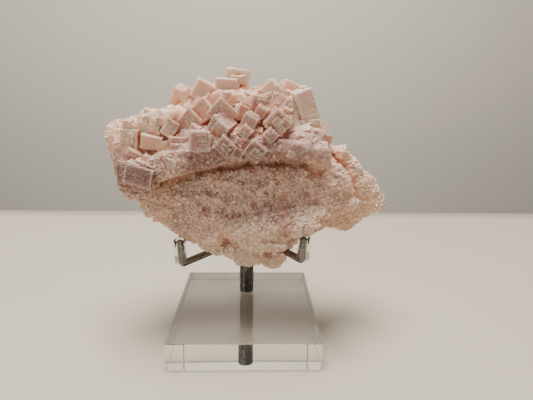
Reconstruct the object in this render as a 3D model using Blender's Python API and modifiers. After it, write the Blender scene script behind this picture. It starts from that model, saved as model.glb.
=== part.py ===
"""Pink halite cluster resting on a rod stand with a clear acrylic base."""

import math
import random
from collections import namedtuple

import bmesh
import bpy
from mathutils import Vector
from mathutils.bvhtree import BVHTree

# Driving dimensions, in millimetres: X to the right, Y away from the viewer, Z up.
# The origin is the centre of the acrylic base's underside.
MM = 0.001
GAP = 0.3

BASE_SIDE = 63.5
BASE_HEIGHT = 12.5
BASE_CHAMFER = 0.5

POST_PLACE = (0.0, 17.4)
POST_DIAMETER = 7.2
POST_TOP = 49.0
POST_SEAT = 6.1
POST_CHAMFER = 0.5

ROD_DIAMETER = 3.0
ROD_BEND_RADIUS = 1.9
ROD_INSERT = 2.1
SLEEVE_DIAMETER = 5.0
SLEEVE_BORE = ROD_DIAMETER + 2 * GAP
SLEEVE_LIP = 0.4
BACK_ROD_FOOT = 44.8

WELD_DISTANCE = 0.01
POST_SIDES = 32
ROD_SIDES = 24
ROD_BEVEL_STEPS = 4
BEND_STEPS = 6
CUT_MARGIN = 1.0

Arm = namedtuple("Arm", "name sleeve height prong top sleeve_foot")
FRONT_ARMS = (
    Arm("front_left_arm", "front_left_sleeve", 39.0, (-26.7, -16.1), 50.8, 41.0),
    Arm("front_right_arm", "front_right_sleeve", 42.3, (23.8, -19.7), 53.6, 44.3),
)
BACK_SLEEVE_FOOT = 52.0
BACK_SLEEVE_TOP = 75.0

# The specimen's crust: slabs with an outline seen from the front, listed as (x, z).
CRUST_VOXEL = 0.95
CRUST_SMOOTHING = 6
CRUST_FATTEN = 0.8
CRUST_TRIANGLE_SHARE = 0.07
LUMP_RELIEF = (("CLOUDS", 9.0, 1.6), ("CLOUDS", 3.6, 1.5))

Slab = namedtuple("Slab", "name front back rounding outline")
SLABS = (
    Slab("right_wing", 0.0, 12.0, 4.0, (
        (23, 98), (33.5, 93), (35, 87.5), (39.5, 85), (43.5, 84.5), (47.5, 80.5), (52, 75),
        (56.5, 72.5), (59.5, 67.5), (62.5, 61.5), (62, 59.5), (56, 57.5), (53.5, 54.5),
        (46, 49), (39.5, 50.5), (30, 55), (0, 58), (0, 98))),
    Slab("left_wing", 0.0, 11.0, 4.0, (
        (-20, 98), (-44.5, 98), (-47.5, 97.5), (-50.5, 95.5), (-54.5, 96.5), (-58, 94.5),
        (-59.5, 88), (-57.5, 83.5), (-57, 75.5), (-55, 69), (-52.5, 65.5), (-44, 64),
        (-30, 62), (-10, 62))),
    Slab("top_ridge", 0.0, 13.0, 4.5, (
        (-38.5, 98), (-30, 101.5), (-28.5, 104.5), (-24.5, 109), (-13.5, 111), (1.5, 108.5),
        (10, 111.5), (22, 109.5), (28, 103.5), (30, 95), (20, 84), (-30, 84))),
    Slab("front_plate", -13.0, 8.0, 2.0, (
        (-44, 75), (-25.5, 83), (-2, 87.5), (21.5, 87.5), (30.5, 87), (34.5, 80.5),
        (40, 73.5), (44, 65.5), (39, 61.5), (34, 57.5), (29, 53), (23.5, 50), (19, 46),
        (12.5, 47), (7, 47), (-2, 48), (-10, 47), (-17.5, 47.5), (-21, 48.5), (-26, 50),
        (-28.5, 52.5), (-33, 56), (-36, 58.5), (-41, 61.5), (-42, 65), (-49, 69),
        (-51, 73))),
    Slab("lower_tip", -12.0, -5.0, 2.0, (
        (-18, 45), (-11.5, 42.5), (-5.5, 41.5), (-2.5, 38.5), (1, 37.5), (7, 37.5),
        (11, 36.5), (16, 39), (17, 43.5), (18, 50), (10.5, 54), (-16, 54))),
    Slab("shelf", -19.5, 4.0, 2.0, (
        (-40, 77.5), (-37, 76), (-32.5, 77), (-25, 79.5), (-17, 81.5), (-10.5, 83),
        (-2, 85), (5.5, 85.5), (17, 85.5), (25, 84.5), (32, 82.5), (30, 88), (24, 91),
        (13, 92), (-2, 91), (-17, 90), (-24.5, 88), (-33, 86), (-39, 82))),
    Slab("left_block", -12.0, 8.0, 2.5, (
        (-51.5, 78.5), (-51.5, 86), (-47.5, 94.5), (-39, 100.5), (-27, 102), (-20, 96),
        (-22, 87), (-32, 77), (-38.5, 71.5), (-48, 71.5))),
    Slab("crown", -9.0, 12.0, 4.0, (
        (-25, 101), (-20.5, 107), (-12, 110), (1.5, 109), (6.5, 108), (13.5, 110.5),
        (22.5, 107.5), (25.5, 102), (28, 95), (30, 87), (-18.5, 86.5), (-28, 90))),
)

# Rounded swellings of the crust: centre, half sizes, turn about Y in degrees.
Swelling = namedtuple("Swelling", "name centre half_sizes roll")
SWELLINGS = (
    Swelling("apron", (11, -8, 56.5), (22, 11, 8.5), -8),
    Swelling("apron_left", (-16, -6, 59), (17, 9, 9), 14),
    Swelling("right_rim", (34, -8, 68), (8, 7.5, 13), 28),
    Swelling("middle", (0, -6, 70), (28, 9, 12), 0),
    Swelling("wing_root", (42, 4, 68), (12, 7, 14), -30),
    Swelling("shelf_step", (-4, -10, 91), (26, 8, 6), 0),
    Swelling("shelf_end", (24, -9, 91), (9, 8, 6), 0),
    Swelling("hollow_floor", (12, -4, 99), (13, 8, 9), 0),
    Swelling("back_hump", (-14, 8, 82), (24, 6, 14), 0),
    Swelling("back_foot", (8, 6, 62), (20, 7, 12), 0),
    Swelling("prong_rest", (25, -15.5, 58.2), (8.5, 6.8, 4.6), -22),
    Swelling("low_ledge", (6, -13, 48.5), (11, 4, 2.5), 3),
    Swelling("left_lobe", (-54.5, 4, 90), (5, 6, 6), 0),
)

# The dark crevice under the shelf: a groove that follows the shelf's lower edge.
CREVICE_DEPTH = -13.5
CREVICE_RADIUS = 2.2
CREVICE = (
    (-43, 73), (-36, 73.5), (-28, 75.5), (-20, 78), (-12, 80), (-4, 82),
    (6, 83), (16, 83), (24, 82), (32, 79.5),
)

# Cubic crystals: centre, sizes along their own axes, turns about X, Y and Z in degrees.
Crystal = namedtuple("Crystal", "name centre sizes turns")
CRYSTALS = (
    Crystal("summit", (-4.0, 3.0, 113.5), (10.0, 10.0, 10.0), (0, 5, 6)),
    Crystal("summit_step", (-7.5, -2.0, 111.0), (9.0, 8.5, 7.5), (4, 4, -6)),
    Crystal("left_peak", (-17.0, -3.0, 109.5), (8.5, 9.0, 8.0), (8, 28, 12)),
    Crystal("left_peak_back", (-22.5, 2.0, 106.0), (7.0, 7.5, 8.5), (0, -8, -20)),
    Crystal("roof_right", (-9.0, -9.0, 101.5), (9.5, 9.0, 8.5), (5, 42, 8)),
    Crystal("roof_left", (-15.5, -7.0, 102.0), (8.0, 8.5, 8.5), (5, 50, -16)),
    Crystal("hollow_face", (-9.0, -14.0, 96.5), (7.5, 8.0, 7.0), (16, 36, -14)),
    Crystal("square_face", (-17.5, -16.5, 91.5), (7.5, 9.0, 7.5), (2, 3, 12)),
    Crystal("arrow_face", (-7.0, -17.0, 90.0), (7.0, 7.5, 6.0), (14, 43, 4)),
    Crystal("arrow_side", (-2.5, -16.5, 91.0), (4.5, 5.0, 4.5), (20, 30, 20)),
    Crystal("arrow_foot", (-3.0, -19.0, 87.0), (4.0, 4.0, 4.0), (0, 22, 10)),
    Crystal("wedge_low", (0.5, -16.5, 95.0), (4.5, 6.0, 4.5), (5, 40, -10)),
    Crystal("wedge_high", (2.5, -13.0, 98.5), (5.5, 7.0, 6.0), (8, 28, -18)),
    Crystal("diamond", (12.0, -13.0, 98.5), (8.0, 9.0, 7.5), (10, 43, 10)),
    Crystal("diamond_tip", (9.5, -17.0, 94.0), (4.5, 6.0, 4.5), (4, 44, 6)),
    Crystal("hanging", (4.5, -18.5, 88.5), (6.5, 7.5, 6.5), (8, 40, -8)),
    Crystal("hanging_side", (7.5, -18.5, 87.5), (3.5, 4.0, 4.0), (4, 30, 20)),
    Crystal("hanging_top", (6.5, -16.5, 90.5), (4.5, 5.0, 4.0), (10, 35, 0)),
    Crystal("right_block", (23.0, -5.0, 104.5), (7.5, 10.0, 13.0), (2, -21, 14)),
    Crystal("right_block_foot", (25.0, -6.0, 96.5), (8.5, 8.0, 5.5), (0, -6, 10)),
    Crystal("right_peak", (10.5, -3.0, 108.5), (9.5, 9.5, 9.0), (4, 42, -6)),
    Crystal("right_peak_back", (18.0, 2.0, 108.5), (9.5, 10.0, 10.0), (0, 22, 6)),
    Crystal("right_peak_foot", (17.0, -6.0, 103.5), (7.0, 7.0, 7.0), (12, 30, 16)),
    Crystal("saddle_left", (0.0, -4.0, 107.0), (6.0, 6.0, 6.0), (6, 18, -20)),
    Crystal("saddle_right", (4.5, -7.5, 105.5), (6.5, 6.5, 6.0), (8, 12, 18)),
    Crystal("saddle_front", (6.5, -11.0, 102.5), (4.5, 6.0, 4.0), (14, 32, -6)),
    Crystal("valley", (-2.0, -9.0, 101.5), (5.5, 6.0, 6.0), (4, 24, 26)),
    Crystal("left_slab", (-34.5, -3.0, 98.0), (15.5, 8.0, 7.0), (6, 3, 4)),
    Crystal("left_slab_front", (-37.0, -8.0, 94.5), (9.5, 8.0, 6.0), (8, 6, -10)),
    Crystal("left_bright", (-36.5, -11.5, 90.5), (8.0, 7.0, 5.5), (10, 10, 8)),
    Crystal("left_corner", (-44.0, -9.0, 91.0), (7.0, 8.0, 8.5), (4, 4, -16)),
    Crystal("left_column", (-47.5, -4.5, 83.0), (5.0, 13.0, 14.0), (0, -9, -22)),
    Crystal("left_plate_high", (-42.0, -11.5, 85.5), (8.0, 8.0, 2.5), (8, 29, 6)),
    Crystal("left_plate_mid", (-35.5, -13.0, 83.5), (7.5, 8.0, 2.5), (8, 27, 2)),
    Crystal("left_plate_low", (-36.5, -15.0, 82.0), (9.5, 10.0, 2.0), (6, 24, -4)),
    Crystal("left_cube", (-39.5, -15.5, 78.0), (11.0, 10.0, 8.0), (2, 14, -10)),
    Crystal("left_cube_side", (-46.5, -10.0, 78.0), (5.0, 9.0, 9.5), (0, 6, -34)),
    Crystal("shelf_step_high", (-26.0, -12.0, 91.5), (6.5, 9.0, 2.5), (4, 2, 10)),
    Crystal("shelf_step_mid", (-24.5, -13.5, 89.0), (7.5, 9.0, 2.5), (4, 4, 0)),
    Crystal("shelf_step_low", (-25.0, -15.5, 86.5), (6.0, 8.0, 2.5), (4, -3, -8)),
    Crystal("shelf_lump", (-28.0, -17.5, 83.0), (5.0, 5.0, 4.5), (8, 20, -10)),
    Crystal("shelf_lump_side", (-31.5, -16.5, 80.5), (4.0, 5.0, 3.5), (6, 35, 10)),
    Crystal("shelf_knob", (13.5, -18.0, 89.0), (2.5, 3.5, 2.5), (10, 30, 10)),
    Crystal("shelf_knob_right", (17.0, -19.0, 87.0), (2.5, 3.0, 2.5), (0, 15, 20)),
    Crystal("shelf_end_cube", (21.0, -13.5, 92.0), (5.5, 6.0, 4.5), (10, 10, 16)),
    Crystal("rim_tooth_high", (34.0, 2.0, 90.5), (4.5, 6.0, 4.5), (0, 20, 10)),
    Crystal("rim_tooth_mid", (41.5, 3.0, 83.5), (5.0, 6.0, 4.0), (0, 10, 30)),
    Crystal("rim_tooth_low", (48.5, 3.0, 76.5), (4.5, 6.0, 4.0), (0, 30, 10)),
    Crystal("right_tip", (59.0, 4.0, 61.5), (5.0, 5.5, 4.0), (0, 10, 30)),
    Crystal("right_foot", (42.0, 3.0, 54.5), (9.0, 7.5, 6.0), (0, -22, 10)),
    Crystal("low_tooth", (11.0, -9.5, 38.0), (2.5, 4.0, 3.0), (0, 20, 10)),
    Crystal("low_tooth_left", (-11.0, -10.0, 45.0), (4.0, 4.5, 3.0), (0, 10, -10)),
)
HOPPER_LEAST_SIZE = 6.5
HOPPER_INSET = 0.2
HOPPER_DEPTH = 0.07

# Smaller crystals grown by rule over the back and the upper edge.
BACK_SEED = 11
BACK_COUNT = 32
BACK_CENTRE = (-4.0, 82.0)
BACK_REACH = (46.0, 24.0)
BACK_EDGES = (4.5, 9.0)
BACK_SUPPORT_CLEAR = 9.0
BACK_PROUD = 0.22
BACK_TILT = 30
BACK_RAY_START = 80.0


def clear_scene():
    """Remove every object of the start-up file."""
    for existing in list(bpy.data.objects):
        bpy.data.objects.remove(existing, do_unlink=True)


def new_collection(name):
    """Make a collection under the scene's own."""
    made = bpy.data.collections.new(name)
    bpy.context.scene.collection.children.link(made)
    return made


def material(name, colour, roughness, metallic=0.0, transmission=0.0, ior=1.5):
    """Make a Principled BSDF material."""
    made = bpy.data.materials.new(name)
    made.use_nodes = True
    shader = made.node_tree.nodes["Principled BSDF"]
    shader.inputs["Base Color"].default_value = (*colour, 1.0)
    shader.inputs["Roughness"].default_value = roughness
    shader.inputs["Metallic"].default_value = metallic
    shader.inputs["Transmission Weight"].default_value = transmission
    shader.inputs["IOR"].default_value = ior
    made.diffuse_color = (*colour, 1.0)
    return made


def add_object(name, mesh, collection, finish=None):
    """Link a mesh into a collection as a named object."""
    made = bpy.data.objects.new(name, mesh)
    collection.objects.link(made)
    if finish is not None:
        mesh.materials.clear()
        mesh.materials.append(finish)
    return made


def as_cutter(shape):
    """Mark an object as a working shape that is no part of the model."""
    shape.hide_render = True
    shape.display_type = "WIRE"
    return shape


def shade_round(mesh):
    """Shade a round piece smooth, with its edges kept sharp."""
    mesh.shade_smooth()
    mesh.set_sharp_from_angle(angle=math.radians(35))


def mesh_of(build, name):
    """Make a mesh with a function that fills a bmesh."""
    work = bmesh.new()
    build(work)
    mesh = bpy.data.meshes.new(name)
    work.to_mesh(mesh)
    work.free()
    return mesh


def box_mesh(name, sizes):
    """Box about its own centre, sizes in millimetres."""
    def build(work):
        bmesh.ops.create_cube(work, size=MM)
        bmesh.ops.scale(work, vec=Vector(sizes), verts=work.verts)
    return mesh_of(build, name)


def cylinder_mesh(name, diameter, low, high):
    """Upright cylinder on the Z axis between two heights, in millimetres."""
    sides = POST_SIDES if diameter >= POST_DIAMETER else ROD_SIDES

    def build(work):
        bmesh.ops.create_cone(
            work, cap_ends=True, segments=sides, radius1=diameter / 2 * MM,
            radius2=diameter / 2 * MM, depth=(high - low) * MM)
        bmesh.ops.translate(work, vec=(0, 0, (high + low) / 2 * MM), verts=work.verts)
    return mesh_of(build, name)


def add_boolean(target, operation, cutter=None, cutters=None):
    """Add an exact Boolean with one object or with a collection."""
    step = target.modifiers.new(operation.title(), "BOOLEAN")
    step.operation = operation
    step.solver = "EXACT"
    if cutters is None:
        step.object = cutter
    else:
        step.operand_type = "COLLECTION"
        step.collection = cutters


def add_chamfer(target, width):
    """Break the sharp edges of a box or a cylinder."""
    step = target.modifiers.new("Edge", "BEVEL")
    step.width = width * MM
    step.segments = 1
    step.limit_method = "ANGLE"
    step.angle_limit = math.radians(40)


def evaluated_mesh(shape):
    """Mesh of an object with its modifiers, its close points welded."""
    graph = bpy.context.evaluated_depsgraph_get()
    mesh = bpy.data.meshes.new_from_object(shape.evaluated_get(graph))
    work = bmesh.new()
    work.from_mesh(mesh)
    bmesh.ops.remove_doubles(work, verts=work.verts, dist=WELD_DISTANCE * MM)
    work.to_mesh(mesh)
    work.free()
    return mesh


def curve_to_mesh(curve_object, name, collection):
    """Swap a curve object for the mesh of its surface, in the same place."""
    mesh = evaluated_mesh(curve_object)
    place = curve_object.matrix_world.copy()
    bpy.data.objects.remove(curve_object, do_unlink=True)
    made = add_object(name, mesh, collection)
    made.matrix_world = place
    return made


def tube(name, points, diameter, collection):
    """Round tube along a route of points, with closed ends."""
    curve = bpy.data.curves.new(name, "CURVE")
    curve.dimensions = "3D"
    curve.bevel_depth = diameter / 2 * MM
    curve.bevel_resolution = ROD_BEVEL_STEPS
    curve.use_fill_caps = True
    line = curve.splines.new("POLY")
    line.points.add(len(points) - 1)
    for knot, place in zip(line.points, points):
        knot.co = (*(Vector(place) * MM), 1.0)
    made = bpy.data.objects.new(name, curve)
    collection.objects.link(made)
    bpy.context.view_layer.update()
    return curve_to_mesh(made, name, collection)


def outlined_slab(slab, collection):
    """Slab with an outline in the XZ plane and rounded edges."""
    curve = bpy.data.curves.new(slab.name, "CURVE")
    curve.dimensions = "2D"
    curve.fill_mode = "BOTH"
    half = (slab.back - slab.front) / 2
    curve.extrude = (half - slab.rounding) * MM
    curve.bevel_depth = slab.rounding * MM
    curve.bevel_resolution = 2
    curve.offset = (CRUST_FATTEN - slab.rounding) * MM
    line = curve.splines.new("POLY")
    line.points.add(len(slab.outline) - 1)
    for knot, (x, z) in zip(line.points, slab.outline):
        knot.co = (x * MM, z * MM, 0.0, 1.0)
    line.use_cyclic_u = True
    made = bpy.data.objects.new(slab.name, curve)
    collection.objects.link(made)
    made.location.y = (slab.front + slab.back) / 2 * MM
    made.rotation_euler.x = math.radians(90)
    bpy.context.view_layer.update()
    return curve_to_mesh(made, slab.name, collection)


def swelling(shape, collection):
    """Ellipsoid that fattens the crust."""
    def build(work):
        bmesh.ops.create_uvsphere(work, u_segments=20, v_segments=12, radius=MM)
        bmesh.ops.scale(work, vec=Vector(shape.half_sizes), verts=work.verts)
    made = add_object(shape.name, mesh_of(build, shape.name), collection)
    made.location = Vector(shape.centre) * MM
    made.rotation_euler.y = math.radians(shape.roll)
    return made


def crystal_mesh(name, sizes, hopper):
    """Cube of salt; the faces of a large one may be sunk like a shallow hopper."""
    def build(work):
        bmesh.ops.create_cube(work, size=MM)
        bmesh.ops.scale(work, vec=Vector(sizes), verts=work.verts)
        if hopper and min(sizes) >= HOPPER_LEAST_SIZE:
            least = min(sizes) * MM
            bmesh.ops.inset_individual(
                work, faces=list(work.faces), thickness=HOPPER_INSET * least,
                depth=-HOPPER_DEPTH * least)
    return mesh_of(build, name)


def add_crystal(crystal, collection, hopper=True):
    """Place one crystal by its centre and its turns."""
    made = add_object(crystal.name, crystal_mesh(crystal.name, crystal.sizes, hopper), collection)
    made.location = Vector(crystal.centre) * MM
    made.rotation_euler = [math.radians(turn) for turn in crystal.turns]
    return as_cutter(made)


def join_meshes(name, shapes, collection):
    """Put the meshes of several objects into one, in world places."""
    bpy.context.view_layer.update()
    work = bmesh.new()
    for shape in shapes:
        copy = shape.data.copy()
        copy.transform(shape.matrix_world)
        work.from_mesh(copy)
        bpy.data.meshes.remove(copy)
        bpy.data.objects.remove(shape, do_unlink=True)
    mesh = bpy.data.meshes.new(name)
    work.to_mesh(mesh)
    work.free()
    return add_object(name, mesh, collection)


def add_relief(target, pattern, scale, strength):
    """Push the surface in and out by a noise pattern, sizes in millimetres."""
    texture = bpy.data.textures.new(f"{target.name}_{pattern.lower()}_{scale}", pattern)
    texture.noise_scale = scale * MM
    step = target.modifiers.new("Relief", "DISPLACE")
    step.texture = texture
    step.strength = strength * MM
    step.mid_level = 0.5
    step.texture_coords = "GLOBAL"


def add_remesh(target, voxel):
    """Fuse what overlaps into one skin."""
    step = target.modifiers.new("Fuse", "REMESH")
    step.mode = "VOXEL"
    step.voxel_size = voxel * MM


def crevice_cutter(collection):
    """Groove tube along the underside of the shelf."""
    route = [(x, CREVICE_DEPTH, z) for x, z in CREVICE]
    return as_cutter(tube("crevice", route, 2 * CREVICE_RADIUS, collection))


def crust(working):
    """Mesh of the granular mass that carries the crystals."""
    shapes = [outlined_slab(slab, working) for slab in SLABS]
    shapes += [swelling(shape, working) for shape in SWELLINGS]
    body = as_cutter(join_meshes("crust", shapes, working))
    add_remesh(body, CRUST_VOXEL)
    add_boolean(body, "DIFFERENCE", crevice_cutter(working))
    add_remesh(body, CRUST_VOXEL)
    smooth = body.modifiers.new("Soften", "SMOOTH")
    smooth.iterations = CRUST_SMOOTHING
    for pattern, scale, strength in LUMP_RELIEF:
        add_relief(body, pattern, scale, strength)
    add_remesh(body, CRUST_VOXEL)
    thin = body.modifiers.new("Thin", "DECIMATE")
    thin.ratio = CRUST_TRIANGLE_SHARE
    mesh = evaluated_mesh(body)
    bpy.data.objects.remove(body, do_unlink=True)
    return mesh


def back_crystals(crust_mesh, collection):
    """Grow crystals by rule over the side that faces away."""
    work = bmesh.new()
    work.from_mesh(crust_mesh)
    skin = BVHTree.FromBMesh(work)
    rng = random.Random(BACK_SEED)
    grown = 0
    while grown < BACK_COUNT:
        angle = rng.uniform(0, 2 * math.pi)
        reach = math.sqrt(rng.random())
        x = BACK_CENTRE[0] + BACK_REACH[0] * reach * math.cos(angle)
        z = BACK_CENTRE[1] + BACK_REACH[1] * reach * math.sin(angle)
        edge = rng.uniform(*BACK_EDGES)
        turns = tuple(rng.uniform(-BACK_TILT, BACK_TILT) for _ in range(3))
        near_support = abs(x) < BACK_SUPPORT_CLEAR and z < BACK_SLEEVE_TOP + BACK_SUPPORT_CLEAR
        hit = skin.ray_cast(Vector((x, BACK_RAY_START, z)) * MM, Vector((0, -1, 0)))[0]
        if hit is None or near_support:
            continue
        centre = (x, hit.y / MM - edge * (0.5 - BACK_PROUD), z)
        add_crystal(Crystal(f"back_crystal_{grown}", centre, (edge, edge, edge), turns),
                    collection, hopper=False)
        grown += 1
    work.free()


def rod_route(arm):
    """Points of a front arm: out of the post, round the bend and up."""
    start = Vector((*POST_PLACE, arm.height))
    corner = Vector((*arm.prong, arm.height))
    out = (corner - start).normalized()
    up = Vector((0, 0, 1))
    centre = corner - out * ROD_BEND_RADIUS + up * ROD_BEND_RADIUS
    points = [start + out * (POST_DIAMETER / 2 - ROD_INSERT)]
    for step in range(BEND_STEPS + 1):
        angle = math.radians(90 * step / BEND_STEPS)
        points.append(centre + (out * math.sin(angle) - up * math.cos(angle)) * ROD_BEND_RADIUS)
    points.append(Vector((*arm.prong, arm.top - SLEEVE_LIP)))
    return points


def add_sleeve(name, place, foot, top, collection, cutters, finish):
    """Clear tube over a rod's end."""
    made = add_object(name, cylinder_mesh(name, SLEEVE_DIAMETER, foot, top), collection, finish)
    made.location = (place[0] * MM, place[1] * MM, 0)
    bore = cylinder_mesh(f"{name}_bore", SLEEVE_BORE, foot - CUT_MARGIN, top + CUT_MARGIN)
    cutter = as_cutter(add_object(f"{name}_bore", bore, cutters))
    cutter.location = made.location
    add_boolean(made, "DIFFERENCE", cutter)
    shade_round(made.data)


def clearance(name, place, diameter, foot, top, collection):
    """Room that the specimen leaves round an upright piece of the stand."""
    mesh = cylinder_mesh(name, diameter + 2 * GAP, foot - GAP, top + GAP)
    made = as_cutter(add_object(name, mesh, collection))
    made.location = (place[0] * MM, place[1] * MM, 0)


def build_base(collection, cutters, finish):
    """Square acrylic block with a blind hole for the post."""
    base = add_object("acrylic_base", box_mesh("acrylic_base", (BASE_SIDE, BASE_SIDE, BASE_HEIGHT)),
                      collection, finish)
    base.location.z = BASE_HEIGHT / 2 * MM
    add_chamfer(base, BASE_CHAMFER)
    hole = cylinder_mesh("post_hole", POST_DIAMETER + 2 * GAP, POST_SEAT - GAP,
                         BASE_HEIGHT + CUT_MARGIN)
    cutter = as_cutter(add_object("post_hole", hole, cutters))
    cutter.location = (POST_PLACE[0] * MM, POST_PLACE[1] * MM, 0)
    add_boolean(base, "DIFFERENCE", cutter)


def build_post(collection, cutters, finish):
    """Steel post with a cross hole for each arm and one in its top."""
    post = add_object("post", cylinder_mesh("post", POST_DIAMETER, POST_SEAT, POST_TOP),
                      collection, finish)
    post.location = (POST_PLACE[0] * MM, POST_PLACE[1] * MM, 0)
    add_chamfer(post, POST_CHAMFER)
    for arm in FRONT_ARMS:
        start = Vector((*POST_PLACE, arm.height))
        out = (Vector((*arm.prong, arm.height)) - start).normalized()
        route = [start + out * (POST_DIAMETER / 2 - ROD_INSERT - GAP),
                 start + out * POST_DIAMETER]
        hole = tube(f"{arm.name}_hole", route, SLEEVE_BORE, cutters)
        add_boolean(post, "DIFFERENCE", as_cutter(hole))
    top_hole = cylinder_mesh("back_arm_hole", SLEEVE_BORE, BACK_ROD_FOOT - GAP,
                             POST_TOP + CUT_MARGIN)
    cutter = as_cutter(add_object("back_arm_hole", top_hole, cutters))
    cutter.location = post.location
    add_boolean(post, "DIFFERENCE", cutter)
    shade_round(post.data)


def build_arms(collection, cutters, steel, vinyl):
    """Two bent front arms and the straight back one, each with its sleeve."""
    for arm in FRONT_ARMS:
        rod = tube(arm.name, rod_route(arm), ROD_DIAMETER, collection)
        rod.data.materials.append(steel)
        shade_round(rod.data)
        add_sleeve(arm.sleeve, arm.prong, arm.sleeve_foot, arm.top, collection, cutters, vinyl)
    rod = add_object("back_arm", cylinder_mesh(
        "back_arm", ROD_DIAMETER, BACK_ROD_FOOT, BACK_SLEEVE_TOP - SLEEVE_LIP), collection, steel)
    rod.location = (POST_PLACE[0] * MM, POST_PLACE[1] * MM, 0)
    shade_round(rod.data)
    add_sleeve("back_sleeve", POST_PLACE, BACK_SLEEVE_FOOT, BACK_SLEEVE_TOP, collection,
               cutters, vinyl)


def stand_clearances(collection):
    """Shapes that keep the specimen clear of the stand."""
    for arm in FRONT_ARMS:
        clearance(f"{arm.sleeve}_room", arm.prong, SLEEVE_DIAMETER, arm.sleeve_foot, arm.top,
                  collection)
        as_cutter(tube(f"{arm.name}_room", rod_route(arm), ROD_DIAMETER + 2 * GAP, collection))
    clearance("back_sleeve_room", POST_PLACE, SLEEVE_DIAMETER, BACK_SLEEVE_FOOT,
              BACK_SLEEVE_TOP, collection)
    clearance("post_room", POST_PLACE, POST_DIAMETER, POST_SEAT, POST_TOP, collection)
    clearance("back_arm_room", POST_PLACE, ROD_DIAMETER, BACK_ROD_FOOT, BACK_SLEEVE_FOOT,
              collection)


def keep_outer_skin(mesh):
    """Keep the largest closed skin and drop hidden pockets inside it."""
    work = bmesh.new()
    work.from_mesh(mesh)
    unseen = set(work.faces)
    skins = []
    while unseen:
        skin = set()
        front = [unseen.pop()]
        while front:
            face = front.pop()
            skin.add(face)
            for edge in face.edges:
                for other in edge.link_faces:
                    if other in unseen:
                        unseen.remove(other)
                        front.append(other)
        skins.append(skin)
    largest = max(skins, key=len)
    hidden = [face for skin in skins if skin is not largest for face in skin]
    bmesh.ops.delete(work, geom=hidden, context="FACES")
    loose = [point for point in work.verts if not point.link_faces]
    bmesh.ops.delete(work, geom=loose, context="VERTS")
    work.to_mesh(mesh)
    work.free()


def build_specimen(collection, cutters, finish):
    """Crust and crystals in one solid, clear of the stand."""
    crystals = new_collection("crystal_shapes")
    rooms = new_collection("stand_rooms")
    crust_mesh = crust(cutters)
    for crystal in CRYSTALS:
        add_crystal(crystal, crystals)
    back_crystals(crust_mesh, crystals)
    stand_clearances(rooms)
    grown = as_cutter(add_object("grown", crust_mesh, cutters))
    add_boolean(grown, "UNION", cutters=crystals)
    add_boolean(grown, "DIFFERENCE", cutters=rooms)
    mesh = evaluated_mesh(grown)
    bpy.data.objects.remove(grown, do_unlink=True)
    keep_outer_skin(mesh)
    add_object("halite_specimen", mesh, collection, finish)


def main():
    """Build the specimen on its stand."""
    clear_scene()
    model = new_collection("halite_on_stand")
    cutters = new_collection("cutters")
    halite = material("halite", (0.72, 0.42, 0.36), 0.4)
    acrylic = material("clear_acrylic", (0.95, 0.97, 0.96), 0.03, transmission=1.0, ior=1.49)
    steel = material("dark_steel", (0.27, 0.26, 0.25), 0.22, metallic=1.0)
    vinyl = material("clear_vinyl", (0.93, 0.93, 0.9), 0.08, transmission=1.0, ior=1.5)
    build_base(model, cutters, acrylic)
    build_post(model, cutters, steel)
    build_arms(model, cutters, steel, vinyl)
    build_specimen(model, cutters, halite)


main()
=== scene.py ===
"""Finish a pink halite specimen and the clear stand that holds it."""

import logging
import math
import random
from collections.abc import Callable, Iterable, Sequence
from dataclasses import dataclass
from enum import Enum

import bmesh
import bpy
import numpy as np
from mathutils import Euler, Matrix, Vector, noise
from mathutils.bvhtree import BVHTree


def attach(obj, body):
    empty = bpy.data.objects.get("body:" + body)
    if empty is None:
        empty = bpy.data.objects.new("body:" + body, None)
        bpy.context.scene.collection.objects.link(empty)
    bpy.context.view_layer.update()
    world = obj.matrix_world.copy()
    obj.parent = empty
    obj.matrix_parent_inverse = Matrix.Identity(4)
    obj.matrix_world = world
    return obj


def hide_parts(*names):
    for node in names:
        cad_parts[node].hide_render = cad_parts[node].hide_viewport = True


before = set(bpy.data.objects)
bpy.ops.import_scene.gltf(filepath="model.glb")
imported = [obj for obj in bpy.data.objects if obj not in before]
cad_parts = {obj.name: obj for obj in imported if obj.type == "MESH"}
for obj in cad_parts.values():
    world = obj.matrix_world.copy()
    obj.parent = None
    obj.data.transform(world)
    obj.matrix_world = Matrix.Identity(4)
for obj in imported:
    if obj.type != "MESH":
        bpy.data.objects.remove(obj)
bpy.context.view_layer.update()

LOG = logging.getLogger("halite_on_stand")
MM = 0.001
BODY = "root"
SHORTEST_STEP = 0.02

Triple = tuple[float, float, float]
Pair = tuple[float, float]
Colour = tuple[float, float, float]


class Slot(Enum):
    """Material slots of the record."""

    HALITE = "halite"
    ACRYLIC = "clear_acrylic"
    STEEL = "dark_steel"
    VINYL = "clear_vinyl"


class Grain(Enum):
    """Kinds of loose-looking salt that cover the crust, by the mask that places them."""

    SUGAR = "sugar"
    CRUMB = "crumb"
    DRUSE = "druse"
    STEP = "step"


# Tables of the specimen's shape, in millimetres, as the solids have them


@dataclass(frozen=True)
class Slab:
    """Slab of crust with an outline in the XZ plane."""

    name: str
    front: float
    back: float
    rounding: float
    outline: tuple[Pair, ...]


@dataclass(frozen=True)
class Swelling:
    """Ellipsoid that fattens the crust."""

    name: str
    centre: Triple
    half_sizes: Triple
    roll: float


@dataclass(frozen=True)
class Cube:
    """Cubic crystal: its centre, its sizes along its own axes and its turns in degrees."""

    name: str
    centre: Triple
    sizes: Triple
    turns: Triple


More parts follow.
